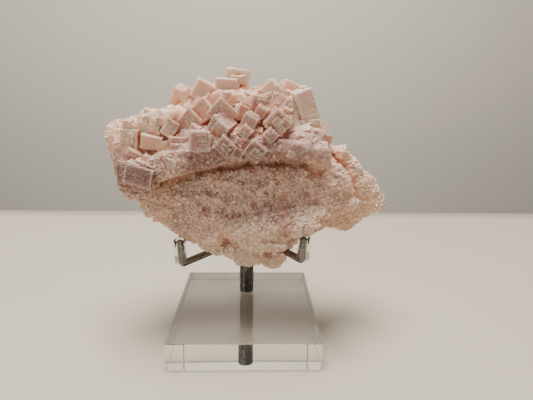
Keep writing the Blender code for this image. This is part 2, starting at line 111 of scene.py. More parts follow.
SLABS = (
    Slab("right_wing", 0.0, 12.0, 4.0, (
        (23, 98), (33.5, 93), (35, 87.5), (39.5, 85), (43.5, 84.5), (47.5, 80.5), (52, 75),
        (56.5, 72.5), (59.5, 67.5), (62.5, 61.5), (62, 59.5), (56, 57.5), (53.5, 54.5),
        (46, 49), (39.5, 50.5), (30, 55), (0, 58), (0, 98))),
    Slab("left_wing", 0.0, 11.0, 4.0, (
        (-20, 98), (-44.5, 98), (-47.5, 97.5), (-50.5, 95.5), (-54.5, 96.5), (-58, 94.5),
        (-59.5, 88), (-57.5, 83.5), (-57, 75.5), (-55, 69), (-52.5, 65.5), (-44, 64),
        (-30, 62), (-10, 62))),
    Slab("top_ridge", 0.0, 13.0, 4.5, (
        (-38.5, 98), (-30, 101.5), (-28.5, 104.5), (-24.5, 109), (-13.5, 111), (1.5, 108.5),
        (10, 111.5), (22, 109.5), (28, 103.5), (30, 95), (20, 84), (-30, 84))),
    Slab("front_plate", -13.0, 8.0, 2.0, (
        (-44, 75), (-25.5, 83), (-2, 87.5), (21.5, 87.5), (30.5, 87), (34.5, 80.5),
        (40, 73.5), (44, 65.5), (39, 61.5), (34, 57.5), (29, 53), (23.5, 50), (19, 46),
        (12.5, 47), (7, 47), (-2, 48), (-10, 47), (-17.5, 47.5), (-21, 48.5), (-26, 50),
        (-28.5, 52.5), (-33, 56), (-36, 58.5), (-41, 61.5), (-42, 65), (-49, 69),
        (-51, 73))),
    Slab("lower_tip", -12.0, -5.0, 2.0, (
        (-18, 45), (-11.5, 42.5), (-5.5, 41.5), (-2.5, 38.5), (1, 37.5), (7, 37.5),
        (11, 36.5), (16, 39), (17, 43.5), (18, 50), (10.5, 54), (-16, 54))),
    Slab("shelf", -19.5, 4.0, 2.0, (
        (-40, 77.5), (-37, 76), (-32.5, 77), (-25, 79.5), (-17, 81.5), (-10.5, 83),
        (-2, 85), (5.5, 85.5), (17, 85.5), (25, 84.5), (32, 82.5), (30, 88), (24, 91),
        (13, 92), (-2, 91), (-17, 90), (-24.5, 88), (-33, 86), (-39, 82))),
    Slab("left_block", -12.0, 8.0, 2.5, (
        (-51.5, 78.5), (-51.5, 86), (-47.5, 94.5), (-39, 100.5), (-27, 102), (-20, 96),
        (-22, 87), (-32, 77), (-38.5, 71.5), (-48, 71.5))),
    Slab("crown", -9.0, 12.0, 4.0, (
        (-25, 101), (-20.5, 107), (-12, 110), (1.5, 109), (6.5, 108), (13.5, 110.5),
        (22.5, 107.5), (25.5, 102), (28, 95), (30, 87), (-18.5, 86.5), (-28, 90))),
)

SWELLINGS = (
    Swelling("apron", (11, -8, 56.5), (22, 11, 8.5), -8),
    Swelling("apron_left", (-16, -6, 59), (17, 9, 9), 14),
    Swelling("right_rim", (34, -8, 68), (8, 7.5, 13), 28),
    Swelling("middle", (0, -6, 70), (28, 9, 12), 0),
    Swelling("wing_root", (42, 4, 68), (12, 7, 14), -30),
    Swelling("shelf_step", (-4, -10, 91), (26, 8, 6), 0),
    Swelling("shelf_end", (24, -9, 91), (9, 8, 6), 0),
    Swelling("hollow_floor", (12, -4, 99), (13, 8, 9), 0),
    Swelling("back_hump", (-14, 8, 82), (24, 6, 14), 0),
    Swelling("back_foot", (8, 6, 62), (20, 7, 12), 0),
    Swelling("prong_rest", (25, -15.5, 58.2), (8.5, 6.8, 4.6), -22),
    Swelling("low_ledge", (6, -13, 48.5), (11, 4, 2.5), 3),
    Swelling("left_lobe", (-54.5, 4, 90), (5, 6, 6), 0),
)

CREVICE = (
    (-43, 73), (-36, 73.5), (-28, 75.5), (-20, 78), (-12, 80), (-4, 82),
    (6, 83), (16, 83), (24, 82), (32, 79.5),
)

CUBES = (
    Cube("summit", (-4.0, 3.0, 113.5), (10.0, 10.0, 10.0), (0, 5, 6)),
    Cube("summit_step", (-7.5, -2.0, 111.0), (9.0, 8.5, 7.5), (4, 4, -6)),
    Cube("left_peak", (-17.0, -3.0, 109.5), (8.5, 9.0, 8.0), (8, 28, 12)),
    Cube("left_peak_back", (-22.5, 2.0, 106.0), (7.0, 7.5, 8.5), (0, -8, -20)),
    Cube("roof_right", (-9.0, -9.0, 101.5), (9.5, 9.0, 8.5), (5, 42, 8)),
    Cube("roof_left", (-15.5, -7.0, 102.0), (8.0, 8.5, 8.5), (5, 50, -16)),
    Cube("hollow_face", (-9.0, -14.0, 96.5), (7.5, 8.0, 7.0), (16, 36, -14)),
    Cube("square_face", (-17.5, -16.5, 91.5), (7.5, 9.0, 7.5), (2, 3, 12)),
    Cube("arrow_face", (-7.0, -17.0, 90.0), (7.0, 7.5, 6.0), (14, 43, 4)),
    Cube("arrow_side", (-2.5, -16.5, 91.0), (4.5, 5.0, 4.5), (20, 30, 20)),
    Cube("arrow_foot", (-3.0, -19.0, 87.0), (4.0, 4.0, 4.0), (0, 22, 10)),
    Cube("wedge_low", (0.5, -16.5, 95.0), (4.5, 6.0, 4.5), (5, 40, -10)),
    Cube("wedge_high", (2.5, -13.0, 98.5), (5.5, 7.0, 6.0), (8, 28, -18)),
    Cube("diamond", (12.0, -13.0, 98.5), (8.0, 9.0, 7.5), (10, 43, 10)),
    Cube("diamond_tip", (9.5, -17.0, 94.0), (4.5, 6.0, 4.5), (4, 44, 6)),
    Cube("hanging", (4.5, -18.5, 88.5), (6.5, 7.5, 6.5), (8, 40, -8)),
    Cube("hanging_side", (7.5, -18.5, 87.5), (3.5, 4.0, 4.0), (4, 30, 20)),
    Cube("hanging_top", (6.5, -16.5, 90.5), (4.5, 5.0, 4.0), (10, 35, 0)),
    Cube("right_block", (23.0, -5.0, 104.5), (7.5, 10.0, 13.0), (2, -21, 14)),
    Cube("right_block_foot", (25.0, -6.0, 96.5), (8.5, 8.0, 5.5), (0, -6, 10)),
    Cube("right_peak", (10.5, -3.0, 108.5), (9.5, 9.5, 9.0), (4, 42, -6)),
    Cube("right_peak_back", (18.0, 2.0, 108.5), (9.5, 10.0, 10.0), (0, 22, 6)),
    Cube("right_peak_foot", (17.0, -6.0, 103.5), (7.0, 7.0, 7.0), (12, 30, 16)),
    Cube("saddle_left", (0.0, -4.0, 107.0), (6.0, 6.0, 6.0), (6, 18, -20)),
    Cube("saddle_right", (4.5, -7.5, 105.5), (6.5, 6.5, 6.0), (8, 12, 18)),
    Cube("saddle_front", (6.5, -11.0, 102.5), (4.5, 6.0, 4.0), (14, 32, -6)),
    Cube("valley", (-2.0, -9.0, 101.5), (5.5, 6.0, 6.0), (4, 24, 26)),
    Cube("left_slab", (-34.5, -3.0, 98.0), (15.5, 8.0, 7.0), (6, 3, 4)),
    Cube("left_slab_front", (-37.0, -8.0, 94.5), (9.5, 8.0, 6.0), (8, 6, -10)),
    Cube("left_bright", (-36.5, -11.5, 90.5), (8.0, 7.0, 5.5), (10, 10, 8)),
    Cube("left_corner", (-44.0, -9.0, 91.0), (7.0, 8.0, 8.5), (4, 4, -16)),
    Cube("left_column", (-47.5, -4.5, 83.0), (5.0, 13.0, 14.0), (0, -9, -22)),
    Cube("left_plate_high", (-42.0, -11.5, 85.5), (8.0, 8.0, 2.5), (8, 29, 6)),
    Cube("left_plate_mid", (-35.5, -13.0, 83.5), (7.5, 8.0, 2.5), (8, 27, 2)),
    Cube("left_plate_low", (-36.5, -15.0, 82.0), (9.5, 10.0, 2.0), (6, 24, -4)),
    Cube("left_cube", (-39.5, -15.5, 78.0), (11.0, 10.0, 8.0), (2, 14, -10)),
    Cube("left_cube_side", (-46.5, -10.0, 78.0), (5.0, 9.0, 9.5), (0, 6, -34)),
    Cube("shelf_step_high", (-26.0, -12.0, 91.5), (6.5, 9.0, 2.5), (4, 2, 10)),
    Cube("shelf_step_mid", (-24.5, -13.5, 89.0), (7.5, 9.0, 2.5), (4, 4, 0)),
    Cube("shelf_step_low", (-25.0, -15.5, 86.5), (6.0, 8.0, 2.5), (4, -3, -8)),
    Cube("shelf_lump", (-28.0, -17.5, 83.0), (5.0, 5.0, 4.5), (8, 20, -10)),
    Cube("shelf_lump_side", (-31.5, -16.5, 80.5), (4.0, 5.0, 3.5), (6, 35, 10)),
    Cube("shelf_knob", (13.5, -18.0, 89.0), (2.5, 3.5, 2.5), (10, 30, 10)),
    Cube("shelf_knob_right", (17.0, -19.0, 87.0), (2.5, 3.0, 2.5), (0, 15, 20)),
    Cube("shelf_end_cube", (21.0, -13.5, 92.0), (5.5, 6.0, 4.5), (10, 10, 16)),
    Cube("rim_tooth_high", (34.0, 2.0, 90.5), (4.5, 6.0, 4.5), (0, 20, 10)),
    Cube("rim_tooth_mid", (41.5, 3.0, 83.5), (5.0, 6.0, 4.0), (0, 10, 30)),
    Cube("rim_tooth_low", (48.5, 3.0, 76.5), (4.5, 6.0, 4.0), (0, 30, 10)),
    Cube("right_tip", (59.0, 4.0, 61.5), (5.0, 5.5, 4.0), (0, 10, 30)),
    Cube("right_foot", (42.0, 3.0, 54.5), (9.0, 7.5, 6.0), (0, -22, 10)),
    Cube("low_tooth", (11.0, -9.5, 38.0), (2.5, 4.0, 3.0), (0, 20, 10)),
    Cube("low_tooth_left", (-11.0, -10.0, 45.0), (4.0, 4.5, 3.0), (0, 10, -10)),
)


@dataclass(frozen=True)
class Crease:
    """Ridge or groove drawn on the front of the crust, along a route in the XZ plane."""

    name: str
    route: tuple[Pair, ...]
    width: float
    lift: float


CREASES = (
    Crease("right_rim", ((29, 89), (34, 84.5), (37.5, 79.5), (40, 75.5), (42.5, 70.5),
                         (44, 65.5)), 1.5, 2.4),
    Crease("behind_rim", ((34, 89.5), (39, 83), (42.5, 78), (45.5, 72), (48, 65)), 1.9, -3.0),
    Crease("ledge", ((7.5, 48.5), (11, 49.5), (16.5, 49)), 2.2, 2.2),
    Crease("under_ledge", ((4, 44), (9, 43.2), (17, 44.6)), 1.7, -0.8),
    Crease("cave", ((-8, 47.3), (-3.5, 47.4), (1, 46)), 2.4, -1.3),
    Crease("satin_lump", ((17.5, 71), (21, 72)), 4.0, 1.2),
    Crease("left_dent", ((-21, 59), (-16, 57.5)), 3.2, -1.2),
    Crease("middle_dent", ((-6, 69), (0, 70.5)), 3.4, -1.1),
    Crease("right_dent", ((10, 70), (14, 67.5)), 2.6, -1.1),
    Crease("low_dent", ((-9, 62), (-3, 60.5)), 2.4, -0.9),
    Crease("left_swell", ((-30, 66), (-24, 69)), 4.0, 1.0),
    Crease("low_swell", ((-20, 52.5), (-12, 51)), 2.4, 1.2),
    Crease("right_swell", ((26, 60), (32, 64)), 3.4, 1.1),
)


# Helpers for meshes


def mesh_from(fill: Callable[[bmesh.types.BMesh], None], name: str) -> bpy.types.Mesh:
    """Make a mesh with a function that fills a bmesh.

    Args:
        fill: Adds the geometry, in metres.
        name: The mesh's name.

    Returns:
        The new mesh.
    """
    work = bmesh.new()
    fill(work)
    mesh = bpy.data.meshes.new(name)
    work.to_mesh(mesh)
    work.free()
    return mesh


def add_object(name: str, mesh: bpy.types.Mesh) -> bpy.types.Object:
    """Link a mesh to the scene as a named object at the origin."""
    made = bpy.data.objects.new(name, mesh)
    bpy.context.scene.collection.objects.link(made)
    return made


def drop(shape: bpy.types.Object) -> None:
    """Remove a working object."""
    bpy.data.objects.remove(shape, do_unlink=True)


def evaluated(shape: bpy.types.Object, weld: float = 0.0) -> bpy.types.Mesh:
    """Read an object's mesh with its modifiers.

    Args:
        shape: The object to read.
        weld: Points closer than this, in millimetres, are merged.

    Returns:
        A new plain mesh.
    """
    graph = bpy.context.evaluated_depsgraph_get()
    mesh = bpy.data.meshes.new_from_object(shape.evaluated_get(graph))
    if weld > 0.0:
        work = bmesh.new()
        work.from_mesh(mesh)
        bmesh.ops.remove_doubles(work, verts=work.verts, dist=weld * MM)
        work.to_mesh(mesh)
        work.free()
    return mesh


def baked(shape: bpy.types.Object, name: str, weld: float = 0.0) -> bpy.types.Object:
    """Swap an object for its evaluated mesh, with its place in the mesh.

    Args:
        shape: The object to swap, which is removed.
        name: The new object's name.
        weld: Points closer than this, in millimetres, are merged.

    Returns:
        The new object, at the origin.
    """
    bpy.context.view_layer.update()
    mesh = evaluated(shape, weld)
    mesh.transform(shape.matrix_world)
    drop(shape)
    return add_object(name, mesh)


def merged(name: str, shapes: Sequence[bpy.types.Object]) -> bpy.types.Object:
    """Put several objects' meshes into one object.

    Args:
        name: The new object's name.
        shapes: Objects at the origin, which are removed.

    Returns:
        The new object, which keeps the parts' float attributes.
    """
    first, *others = shapes
    first.name = name
    with bpy.context.temp_override(
            active_object=first, selected_editable_objects=list(shapes)):
        bpy.ops.object.join()
    return first


def positions(mesh: bpy.types.Mesh) -> np.ndarray:
    """Read the points of a mesh as rows of X, Y and Z in metres."""
    flat = np.empty(len(mesh.vertices) * 3, dtype=np.float32)
    mesh.vertices.foreach_get("co", flat)
    return flat.reshape(-1, 3).astype(np.float64)


def normals(mesh: bpy.types.Mesh) -> np.ndarray:
    """Read the point normals of a mesh."""
    flat = np.empty(len(mesh.vertices) * 3, dtype=np.float32)
    mesh.vertex_normals.foreach_get("vector", flat)
    return flat.reshape(-1, 3).astype(np.float64)


def set_positions(mesh: bpy.types.Mesh, points: np.ndarray) -> None:
    """Write the points of a mesh."""
    mesh.vertices.foreach_set("co", points.astype(np.float32).ravel())
    mesh.update()


def set_attribute(mesh: bpy.types.Mesh, name: str, values: np.ndarray) -> None:
    """Write one number for each point of a mesh."""
    layer = mesh.attributes.get(name) or mesh.attributes.new(name, "FLOAT", "POINT")
    layer.data.foreach_set("value", values.astype(np.float32))


def read_attribute(mesh: bpy.types.Mesh, name: str) -> np.ndarray:
    """Read one number for each point of a mesh."""
    values = np.empty(len(mesh.vertices), dtype=np.float32)
    mesh.attributes[name].data.foreach_get("value", values)
    return values


def smoothed(piece: bpy.types.Object, sharpest: float) -> bpy.types.Object:
    """Shade a piece smooth, but for edges that turn by more than some degrees."""
    piece.data.shade_smooth()
    piece.data.set_sharp_from_angle(angle=math.radians(sharpest))
    return piece


def smoothstep(low: float, high: float, values: np.ndarray) -> np.ndarray:
    """Ease from 0 at low to 1 at high; low may be the larger of the two."""
    share = np.clip((values - low) / (high - low), 0.0, 1.0)
    return share * share * (3.0 - 2.0 * share)


def hump(middle: float, width: float, values: np.ndarray) -> np.ndarray:
    """Bell of height 1 round a middle value."""
    return np.exp(-((values - middle) / width) ** 2)


def lathe(profile: Sequence[Pair], sides: int, closed: bool) -> Callable[[bmesh.types.BMesh], None]:
    """Turn a profile about the Z axis.

    Args:
        profile: Points as radius and height in millimetres, outer side going up.
        sides: Steps round the axis.
        closed: True where the profile's end meets its start.

    Returns:
        A function that fills a bmesh.
    """
    def fill(work: bmesh.types.BMesh) -> None:
        """Add a ring for each point of the profile, or a pole on the axis, and the faces."""
        rings = []
        for radius, height in profile:
            if radius == 0.0:
                rings.append([work.verts.new((0.0, 0.0, height * MM))] * sides)
                continue
            ring = []
            for side in range(sides):
                angle = 2.0 * math.pi * side / sides
                place = (radius * math.cos(angle) * MM, radius * math.sin(angle) * MM, height * MM)
                ring.append(work.verts.new(place))
            rings.append(ring)
        pairs = list(zip(rings, rings[1:]))
        if closed:
            pairs.append((rings[-1], rings[0]))
        for low, high in pairs:
            for side in range(sides):
                after = (side + 1) % sides
                corners = [low[side], low[after], high[after], high[side]]
                work.faces.new(list(dict.fromkeys(corners)))
    return fill


def rounded_route(points: Sequence[Vector], radius: float, steps: int) -> list[Vector]:
    """Round the inner corners of a route.

    Args:
        points: The route's corners, in millimetres.
        radius: The bend radius, in millimetres.
        steps: Steps of each quarter turn.

    Returns:
        The points of the rounded route.
    """
    route = [points[0]]
    for before, corner, after in zip(points, points[1:], points[2:]):
        back = (before - corner).normalized()
        ahead = (after - corner).normalized()
        half = back.angle(ahead) / 2.0
        reach = radius / math.tan(half)
        centre = corner + (back + ahead).normalized() * (radius / math.sin(half))
        start = corner + back * reach - centre
        end = corner + ahead * reach - centre
        for step in range(steps + 1):
            route.append(centre + start.slerp(end, step / steps))
    route.append(points[-1])
    return route


def sweep(name: str, route: Sequence[Vector], diameter: float, sides: int = 32,
          soft: float = 0.0) -> bpy.types.Object:
    """Round rod along a route, with closed ends.

    Args:
        name: The object's name.
        route: Points in millimetres.
        diameter: In millimetres.
        sides: Steps round the rod.
        soft: Rounding of its ends, in millimetres.

    Returns:
        A mesh object at the origin.
    """
    places = [Vector(place) for place in route]
    kept = [places[0]]
    kept += [place for place in places[1:] if (place - kept[-1]).length > SHORTEST_STEP]
    ways = [(after - before).normalized() for before, after in zip(kept, kept[1:])]
    tangents = [ways[0], *((one + two).normalized() for one, two in zip(ways, ways[1:])), ways[-1]]
    rings = []
    side = tangents[0].orthogonal().normalized()
    radius = diameter / 2.0
    for index, (place, ahead) in enumerate(zip(kept, tangents)):
        side = (side - ahead * side.dot(ahead)).normalized()
        ring = [(place, ahead, side, radius)]
        if soft > 0.0 and index == 0:
            ring = [(place, ahead, side, radius - soft), (place + ahead * soft, ahead, side, radius)]
        elif soft > 0.0 and index == len(kept) - 1:
            ring = [(place - ahead * soft, ahead, side, radius), (place, ahead, side, radius - soft)]
        rings += ring

    def fill(work: bmesh.types.BMesh) -> None:
        """Add the rings, the faces between them and the two caps."""
        loops = []
        for place, ahead, across, radius in rings:
            other = ahead.cross(across)
            loop = []
            for step in range(sides):
                angle = 2.0 * math.pi * step / sides
                out = across * math.cos(angle) + other * math.sin(angle)
                loop.append(work.verts.new((place + out * radius) * MM))
            loops.append(loop)
        for low, high in zip(loops, loops[1:]):
            for step in range(sides):
                after = (step + 1) % sides
                work.faces.new((low[step], low[after], high[after], high[step]))
        work.faces.new(list(reversed(loops[0])))
        work.faces.new(loops[-1])
    return add_object(name, mesh_from(fill, name))


# Helpers for node trees


class Graph:
    """Adds nodes to a tree and links them."""

    def __init__(self, tree: bpy.types.NodeTree) -> None:
        """Keep the tree that is filled."""
        self.tree = tree

    def add(self, kind: str, inputs: dict[str | int, object] | None = None,
            **settings: object) -> bpy.types.Node:
        """Add a node.

        Args:
            kind: The node's type.
            inputs: Values or outputs for its inputs, by name or number.
            settings: Its properties.

        Returns:
            The node.
        """
        node = self.tree.nodes.new(kind)
        for name, value in settings.items():
            setattr(node, name, value)
        self.fill(node, inputs or {})
        return node

    def fill(self, node: bpy.types.Node, inputs: dict[str | int, object]) -> None:
        """Set a node's inputs to values, or link outputs to them."""
        for name, value in inputs.items():
            if isinstance(value, bpy.types.NodeSocket):
                self.tree.links.new(value, node.inputs[name])
            else:
                node.inputs[name].default_value = value

    def math(self, operation: str, *terms: object, clamp: bool = False) -> bpy.types.NodeSocket:
        """Add a Math node whose terms are numbers or outputs."""
        node = self.add("ShaderNodeMath", dict(enumerate(terms)), operation=operation,
                        use_clamp=clamp)
        return node.outputs[0]

    def varied(self, middle: object, spread: float, pattern: object, clamp: bool = False
               ) -> bpy.types.NodeSocket:
        """Add a share of a pattern to a number or an output."""
        return self.math("ADD", middle, self.math("MULTIPLY", pattern, spread), clamp=clamp)

    def mix(self, share: object, low: object, high: object, blend: str = "MIX"
            ) -> bpy.types.NodeSocket:
        """Mix two colours.

        Args:
            share: Number or output, 0 for the first colour.
            low: First colour or output.
            high: Second colour or output.
            blend: Blend type.

        Returns:
            The mixed colour.
        """
        node = self.add("ShaderNodeMix", {"Factor": share}, data_type="RGBA", blend_type=blend)
        for slot, colour in ((6, low), (7, high)):
            self.fill(node, {slot: (*colour, 1.0) if isinstance(colour, tuple) else colour})
        return node.outputs[2]

    def attribute(self, name: str) -> bpy.types.NodeSocket:
        """Read a number that the mesh carries."""
        return self.add("ShaderNodeAttribute", attribute_name=name).outputs["Fac"]

    def place(self) -> bpy.types.NodeSocket:
        """Object coordinates."""
        return self.add("ShaderNodeTexCoord").outputs["Object"]

    def remap(self, value: object, low: float, high: float) -> bpy.types.NodeSocket:
        """Ease a value from 0 at low to 1 at high."""
        node = self.add("ShaderNodeMapRange", {"Value": value, "From Min": low, "From Max": high},
                        interpolation_type="SMOOTHSTEP")
        return node.outputs["Result"]

    def noise(self, grain: float, detail: float = 2.0) -> bpy.types.NodeSocket:
        """Noise in object coordinates.

        Args:
            grain: Size of the pattern, in millimetres.
            detail: Number of finer layers.

        Returns:
            The noise value, about 0.5 in the middle.
        """
        node = self.add("ShaderNodeTexNoise", {"Vector": self.place(), "Detail": detail,
                                               "Scale": 1.0 / (grain * MM)})
        return node.outputs["Fac"]


def shader_of(name: str) -> tuple[bpy.types.Material, Graph, bpy.types.Node]:
    """Start a material.

    Args:
        name: The material's name.

    Returns:
        The material, its graph and its Principled BSDF.
    """
    made = bpy.data.materials.new(name)
    made.use_nodes = True
    return made, Graph(made.node_tree), made.node_tree.nodes["Principled BSDF"]


# Finishes


@dataclass(frozen=True)
class SaltFinish:
    """Milky pink salt, mauve or peach: paler on its edges, partly its own white rims and partly
    painted highlight, with painted shade that reddens and darkens its hollows and where light falls
    least.
    """

    name: str
    mauve: Colour = (0.40, 0.205, 0.19)
    peach: Colour = (0.90, 0.49, 0.31)
    # Milky colour, partly the high crystals' own and partly painted light from above.
    cream: Colour = (0.93, 0.72, 0.57)
    # Pale colour of edges, raised steps and specks: partly the salt's own white rims, partly painted
    # highlight.
    frost_and_highlight_colour: Colour = (1.0, 0.77, 0.60)
    # Painted shade and glow in hollows: redder where a point is somewhat shut in, darker where it is
    # deeply shut in.
    hollow: Colour = (0.60, 0.30, 0.22)
    deep: Colour = (0.46, 0.19, 0.14)
    # Painted shade: colours that the salt and its pale marks are pulled toward where light falls
    # least.
    dusk: Colour = (0.5, 0.42, 0.42)
    painted_shade_frost_and_highlight: Colour = (0.66, 0.44, 0.36)
    scatter_colour: Colour = (1.0, 0.42, 0.32)
    gloss: float = 0.35
    roughness: float = 0.42
    rough_grain: float = 1.4
    rough_spread: float = 0.22
    ior: float = 1.544
    scatter: float = 0.12
    scatter_depth: float = 1.2
    clearness: float = 0.0
    frost_and_highlight_gain: float = 0.8
    speck_size: float = 0.8
    speck_range: Pair = (0.55, 0.75)
    speck_gain: float = 0.35
    patch_size: float = 6.0
    patch_gain: float = 1.7
    tint_range: float = 0.36
    hollow_range: Pair = (0.25, 0.75)
    hollow_share: float = 0.85
    deep_range: Pair = (0.6, 0.95)
    bump: float = 0.25
    bump_grain: float = 0.55
    bump_height: float = 0.12

    def colour(self, graph: Graph) -> bpy.types.NodeSocket:
        """Work out the salt's colour from the numbers that its mesh carries.

        Args:
            graph: The material's graph.

        Returns:
            The colour.
        """
        patches = graph.math("SUBTRACT", graph.noise(self.patch_size, 3.0), 0.5)
        warmth = graph.varied(graph.attribute("warmth"), self.patch_gain, patches, clamp=True)
        body = graph.mix(warmth, self.mauve, self.peach)
        body = graph.mix(graph.attribute("cream"), body, self.cream)
        specks = graph.remap(graph.noise(self.speck_size, 1.0), *self.speck_range)
        frost = graph.math("MULTIPLY", graph.attribute("frost"), self.frost_and_highlight_gain)
        frost = graph.varied(frost, self.speck_gain, specks, clamp=True)
        # Painted shade: darker, more mauve salt where light falls least.
        dusk = graph.attribute("dusk")
        shaded = graph.mix(dusk, body, graph.mix(1.0, body, self.dusk, "MULTIPLY"))
        body = graph.mix(frost, shaded, graph.mix(dusk, self.frost_and_highlight_colour, self.painted_shade_frost_and_highlight))
        tone = graph.varied(1.0 - 0.6 * self.tint_range, self.tint_range, graph.attribute("tint"))
        grey = graph.add("ShaderNodeCombineColor", {0: tone, 1: tone, 2: tone})
        body = graph.mix(1.0, body, grey.outputs[0], "MULTIPLY")
        # Painted shade in hollows, by how far each point is shut in.
        recess = graph.attribute("recess")
        shut = graph.math("MULTIPLY", graph.remap(recess, *self.hollow_range), self.hollow_share)
        body = graph.mix(shut, body, self.hollow)
        return graph.mix(graph.remap(recess, *self.deep_range), body, self.deep)

    def material(self) -> bpy.types.Material:
        """Build the material."""
        made, graph, shader = shader_of(self.name)
        bump = graph.add("ShaderNodeBump", {
            "Strength": self.bump, "Distance": self.bump_height * MM,
            "Height": graph.noise(self.bump_grain, 2.0)})
        graph.fill(shader, {
            "Base Color": self.colour(graph),
            "Roughness": graph.varied(self.roughness, self.rough_spread,
                                      graph.noise(self.rough_grain, 2.0)),
            "IOR": self.ior,
            "Specular IOR Level": self.gloss,
            "Transmission Weight": self.clearness,
            "Subsurface Weight": self.scatter,
            "Subsurface Radius": self.scatter_colour,
            "Subsurface Scale": self.scatter_depth * MM,
            "Normal": bump.outputs["Normal"]})
        return made


CRUST_SALT = SaltFinish("pink_salt")
CRYSTAL_SALT = SaltFinish(
    "crystal_salt", mauve=(0.60, 0.33, 0.28), peach=(0.96, 0.61, 0.42),
    frost_and_highlight_colour=(1.0, 0.84, 0.71), hollow=(0.82, 0.38, 0.23), deep=(0.58, 0.21, 0.12),
    dusk=(0.42, 0.34, 0.33), painted_shade_frost_and_highlight=(0.82, 0.62, 0.53), gloss=0.5, roughness=0.2,
    scatter=0.85, scatter_depth=2.4, clearness=0.12, frost_and_highlight_gain=0.9, speck_size=0.5,
    patch_gain=1.1, tint_range=0.22, bump=0.35)
CHIP_SALT = SaltFinish(
    "chip_salt", mauve=(0.62, 0.34, 0.29), peach=(0.96, 0.60, 0.42),
    frost_and_highlight_colour=(1.0, 0.83, 0.69), hollow=(0.82, 0.40, 0.25), deep=(0.62, 0.26, 0.17),
    painted_shade_frost_and_highlight=(0.85, 0.64, 0.54), gloss=0.5, roughness=0.25, scatter=0.3, scatter_depth=0.6,
    frost_and_highlight_gain=0.9, speck_gain=0.2, tint_range=0.12)


@dataclass(frozen=True)
class ClearFinish:
    """See-through plastic, with faint handling marks in its gloss."""

    name: str
    colour: Colour
    roughness: float
    ior: float
    mark_size: float = 14.0
    mark_range: Pair = (0.5, 0.8)
    mark_depth: float = 0.03

    def material(self) -> bpy.types.Material:
        """Build the material."""
        made, graph, shader = shader_of(self.name)
        marks = graph.remap(graph.noise(self.mark_size, 4.0), *self.mark_range)
        graph.fill(shader, {
            "Base Color": (*self.colour, 1.0),
            "Transmission Weight": 1.0,
            "IOR": self.ior,
            "Roughness": graph.varied(self.roughness, self.mark_depth, marks)})
        return made


@dataclass(frozen=True)
class SteelFinish:
    """Dark drawn steel rod, polished, with a fine drawn grain."""

    name: str
    colour: Colour = (0.24, 0.225, 0.21)
    worn_tone: float = 0.72
    wear_size: float = 5.0
    wear_range: Pair = (0.35, 0.75)
    roughness: float = 0.2
    rough_grain: float = 0.9
    rough_spread: float = 0.16

    def material(self) -> bpy.types.Material:
        """Build the material."""
        made, graph, shader = shader_of(self.name)
        worn = graph.remap(graph.noise(self.wear_size, 3.0), *self.wear_range)
        dark = tuple(self.worn_tone * part for part in self.colour)
        graph.fill(shader, {
            "Metallic": 1.0,
            "Base Color": graph.mix(worn, dark, self.colour),
            "Roughness": graph.varied(self.roughness, self.rough_spread,
                                      graph.noise(self.rough_grain, 3.0))})
        return made


@dataclass(frozen=True)
class MattFinish:
    """Plain matt surface for the surroundings, which may darken towards its far end."""

    name: str
    colour: Colour
    fade: Pair | None = None
    far_tone: float = 0.64
    pale_tone: float = 1.03
    patch_size: float = 180.0
    roughness: float = 0.65

    def material(self) -> bpy.types.Material:
        """Build the material."""
        made, graph, shader = shader_of(self.name)
        pale = tuple(min(1.0, self.pale_tone * part) for part in self.colour)
        colour = graph.mix(graph.noise(self.patch_size, 2.0), self.colour, pale)
        if self.fade:
            axes = graph.add("ShaderNodeSeparateXYZ", {0: graph.place()})
            far = tuple(self.far_tone * part for part in self.colour)
            share = graph.remap(axes.outputs["Y"], *(place * MM for place in self.fade))
            colour = graph.mix(share, colour, far)
        graph.fill(shader, {"Base Color": colour, "Roughness": self.roughness})
        return made


def dress(piece: bpy.types.Object, finish: bpy.types.Material, slot: Slot,
          *nodes: str) -> bpy.types.Object:
    """Give a piece its finish and tie it to the model.

    Args:
        piece: The finished object, at the origin.
        finish: Its material.
        slot: The record's slot that it belongs to, which is not used.
        nodes: The solids that it stands for.

    Returns:
        The same piece.
    """
    piece.data.materials.clear()
    piece.data.materials.append(finish)
    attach(piece, BODY)
    if nodes:
        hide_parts(*nodes)
    piece.data.calc_loop_triangles()
    LOG.info("%s: %d triangles", piece.name, len(piece.data.loop_triangles))
    return piece


# Sub-assemblies


@dataclass(frozen=True)
class Arm:
    """Front arm: its level height, its prong's X and Y, and its sleeve's top and foot."""

    side: str
    height: float
    prong: Pair
    top: float
    foot: float


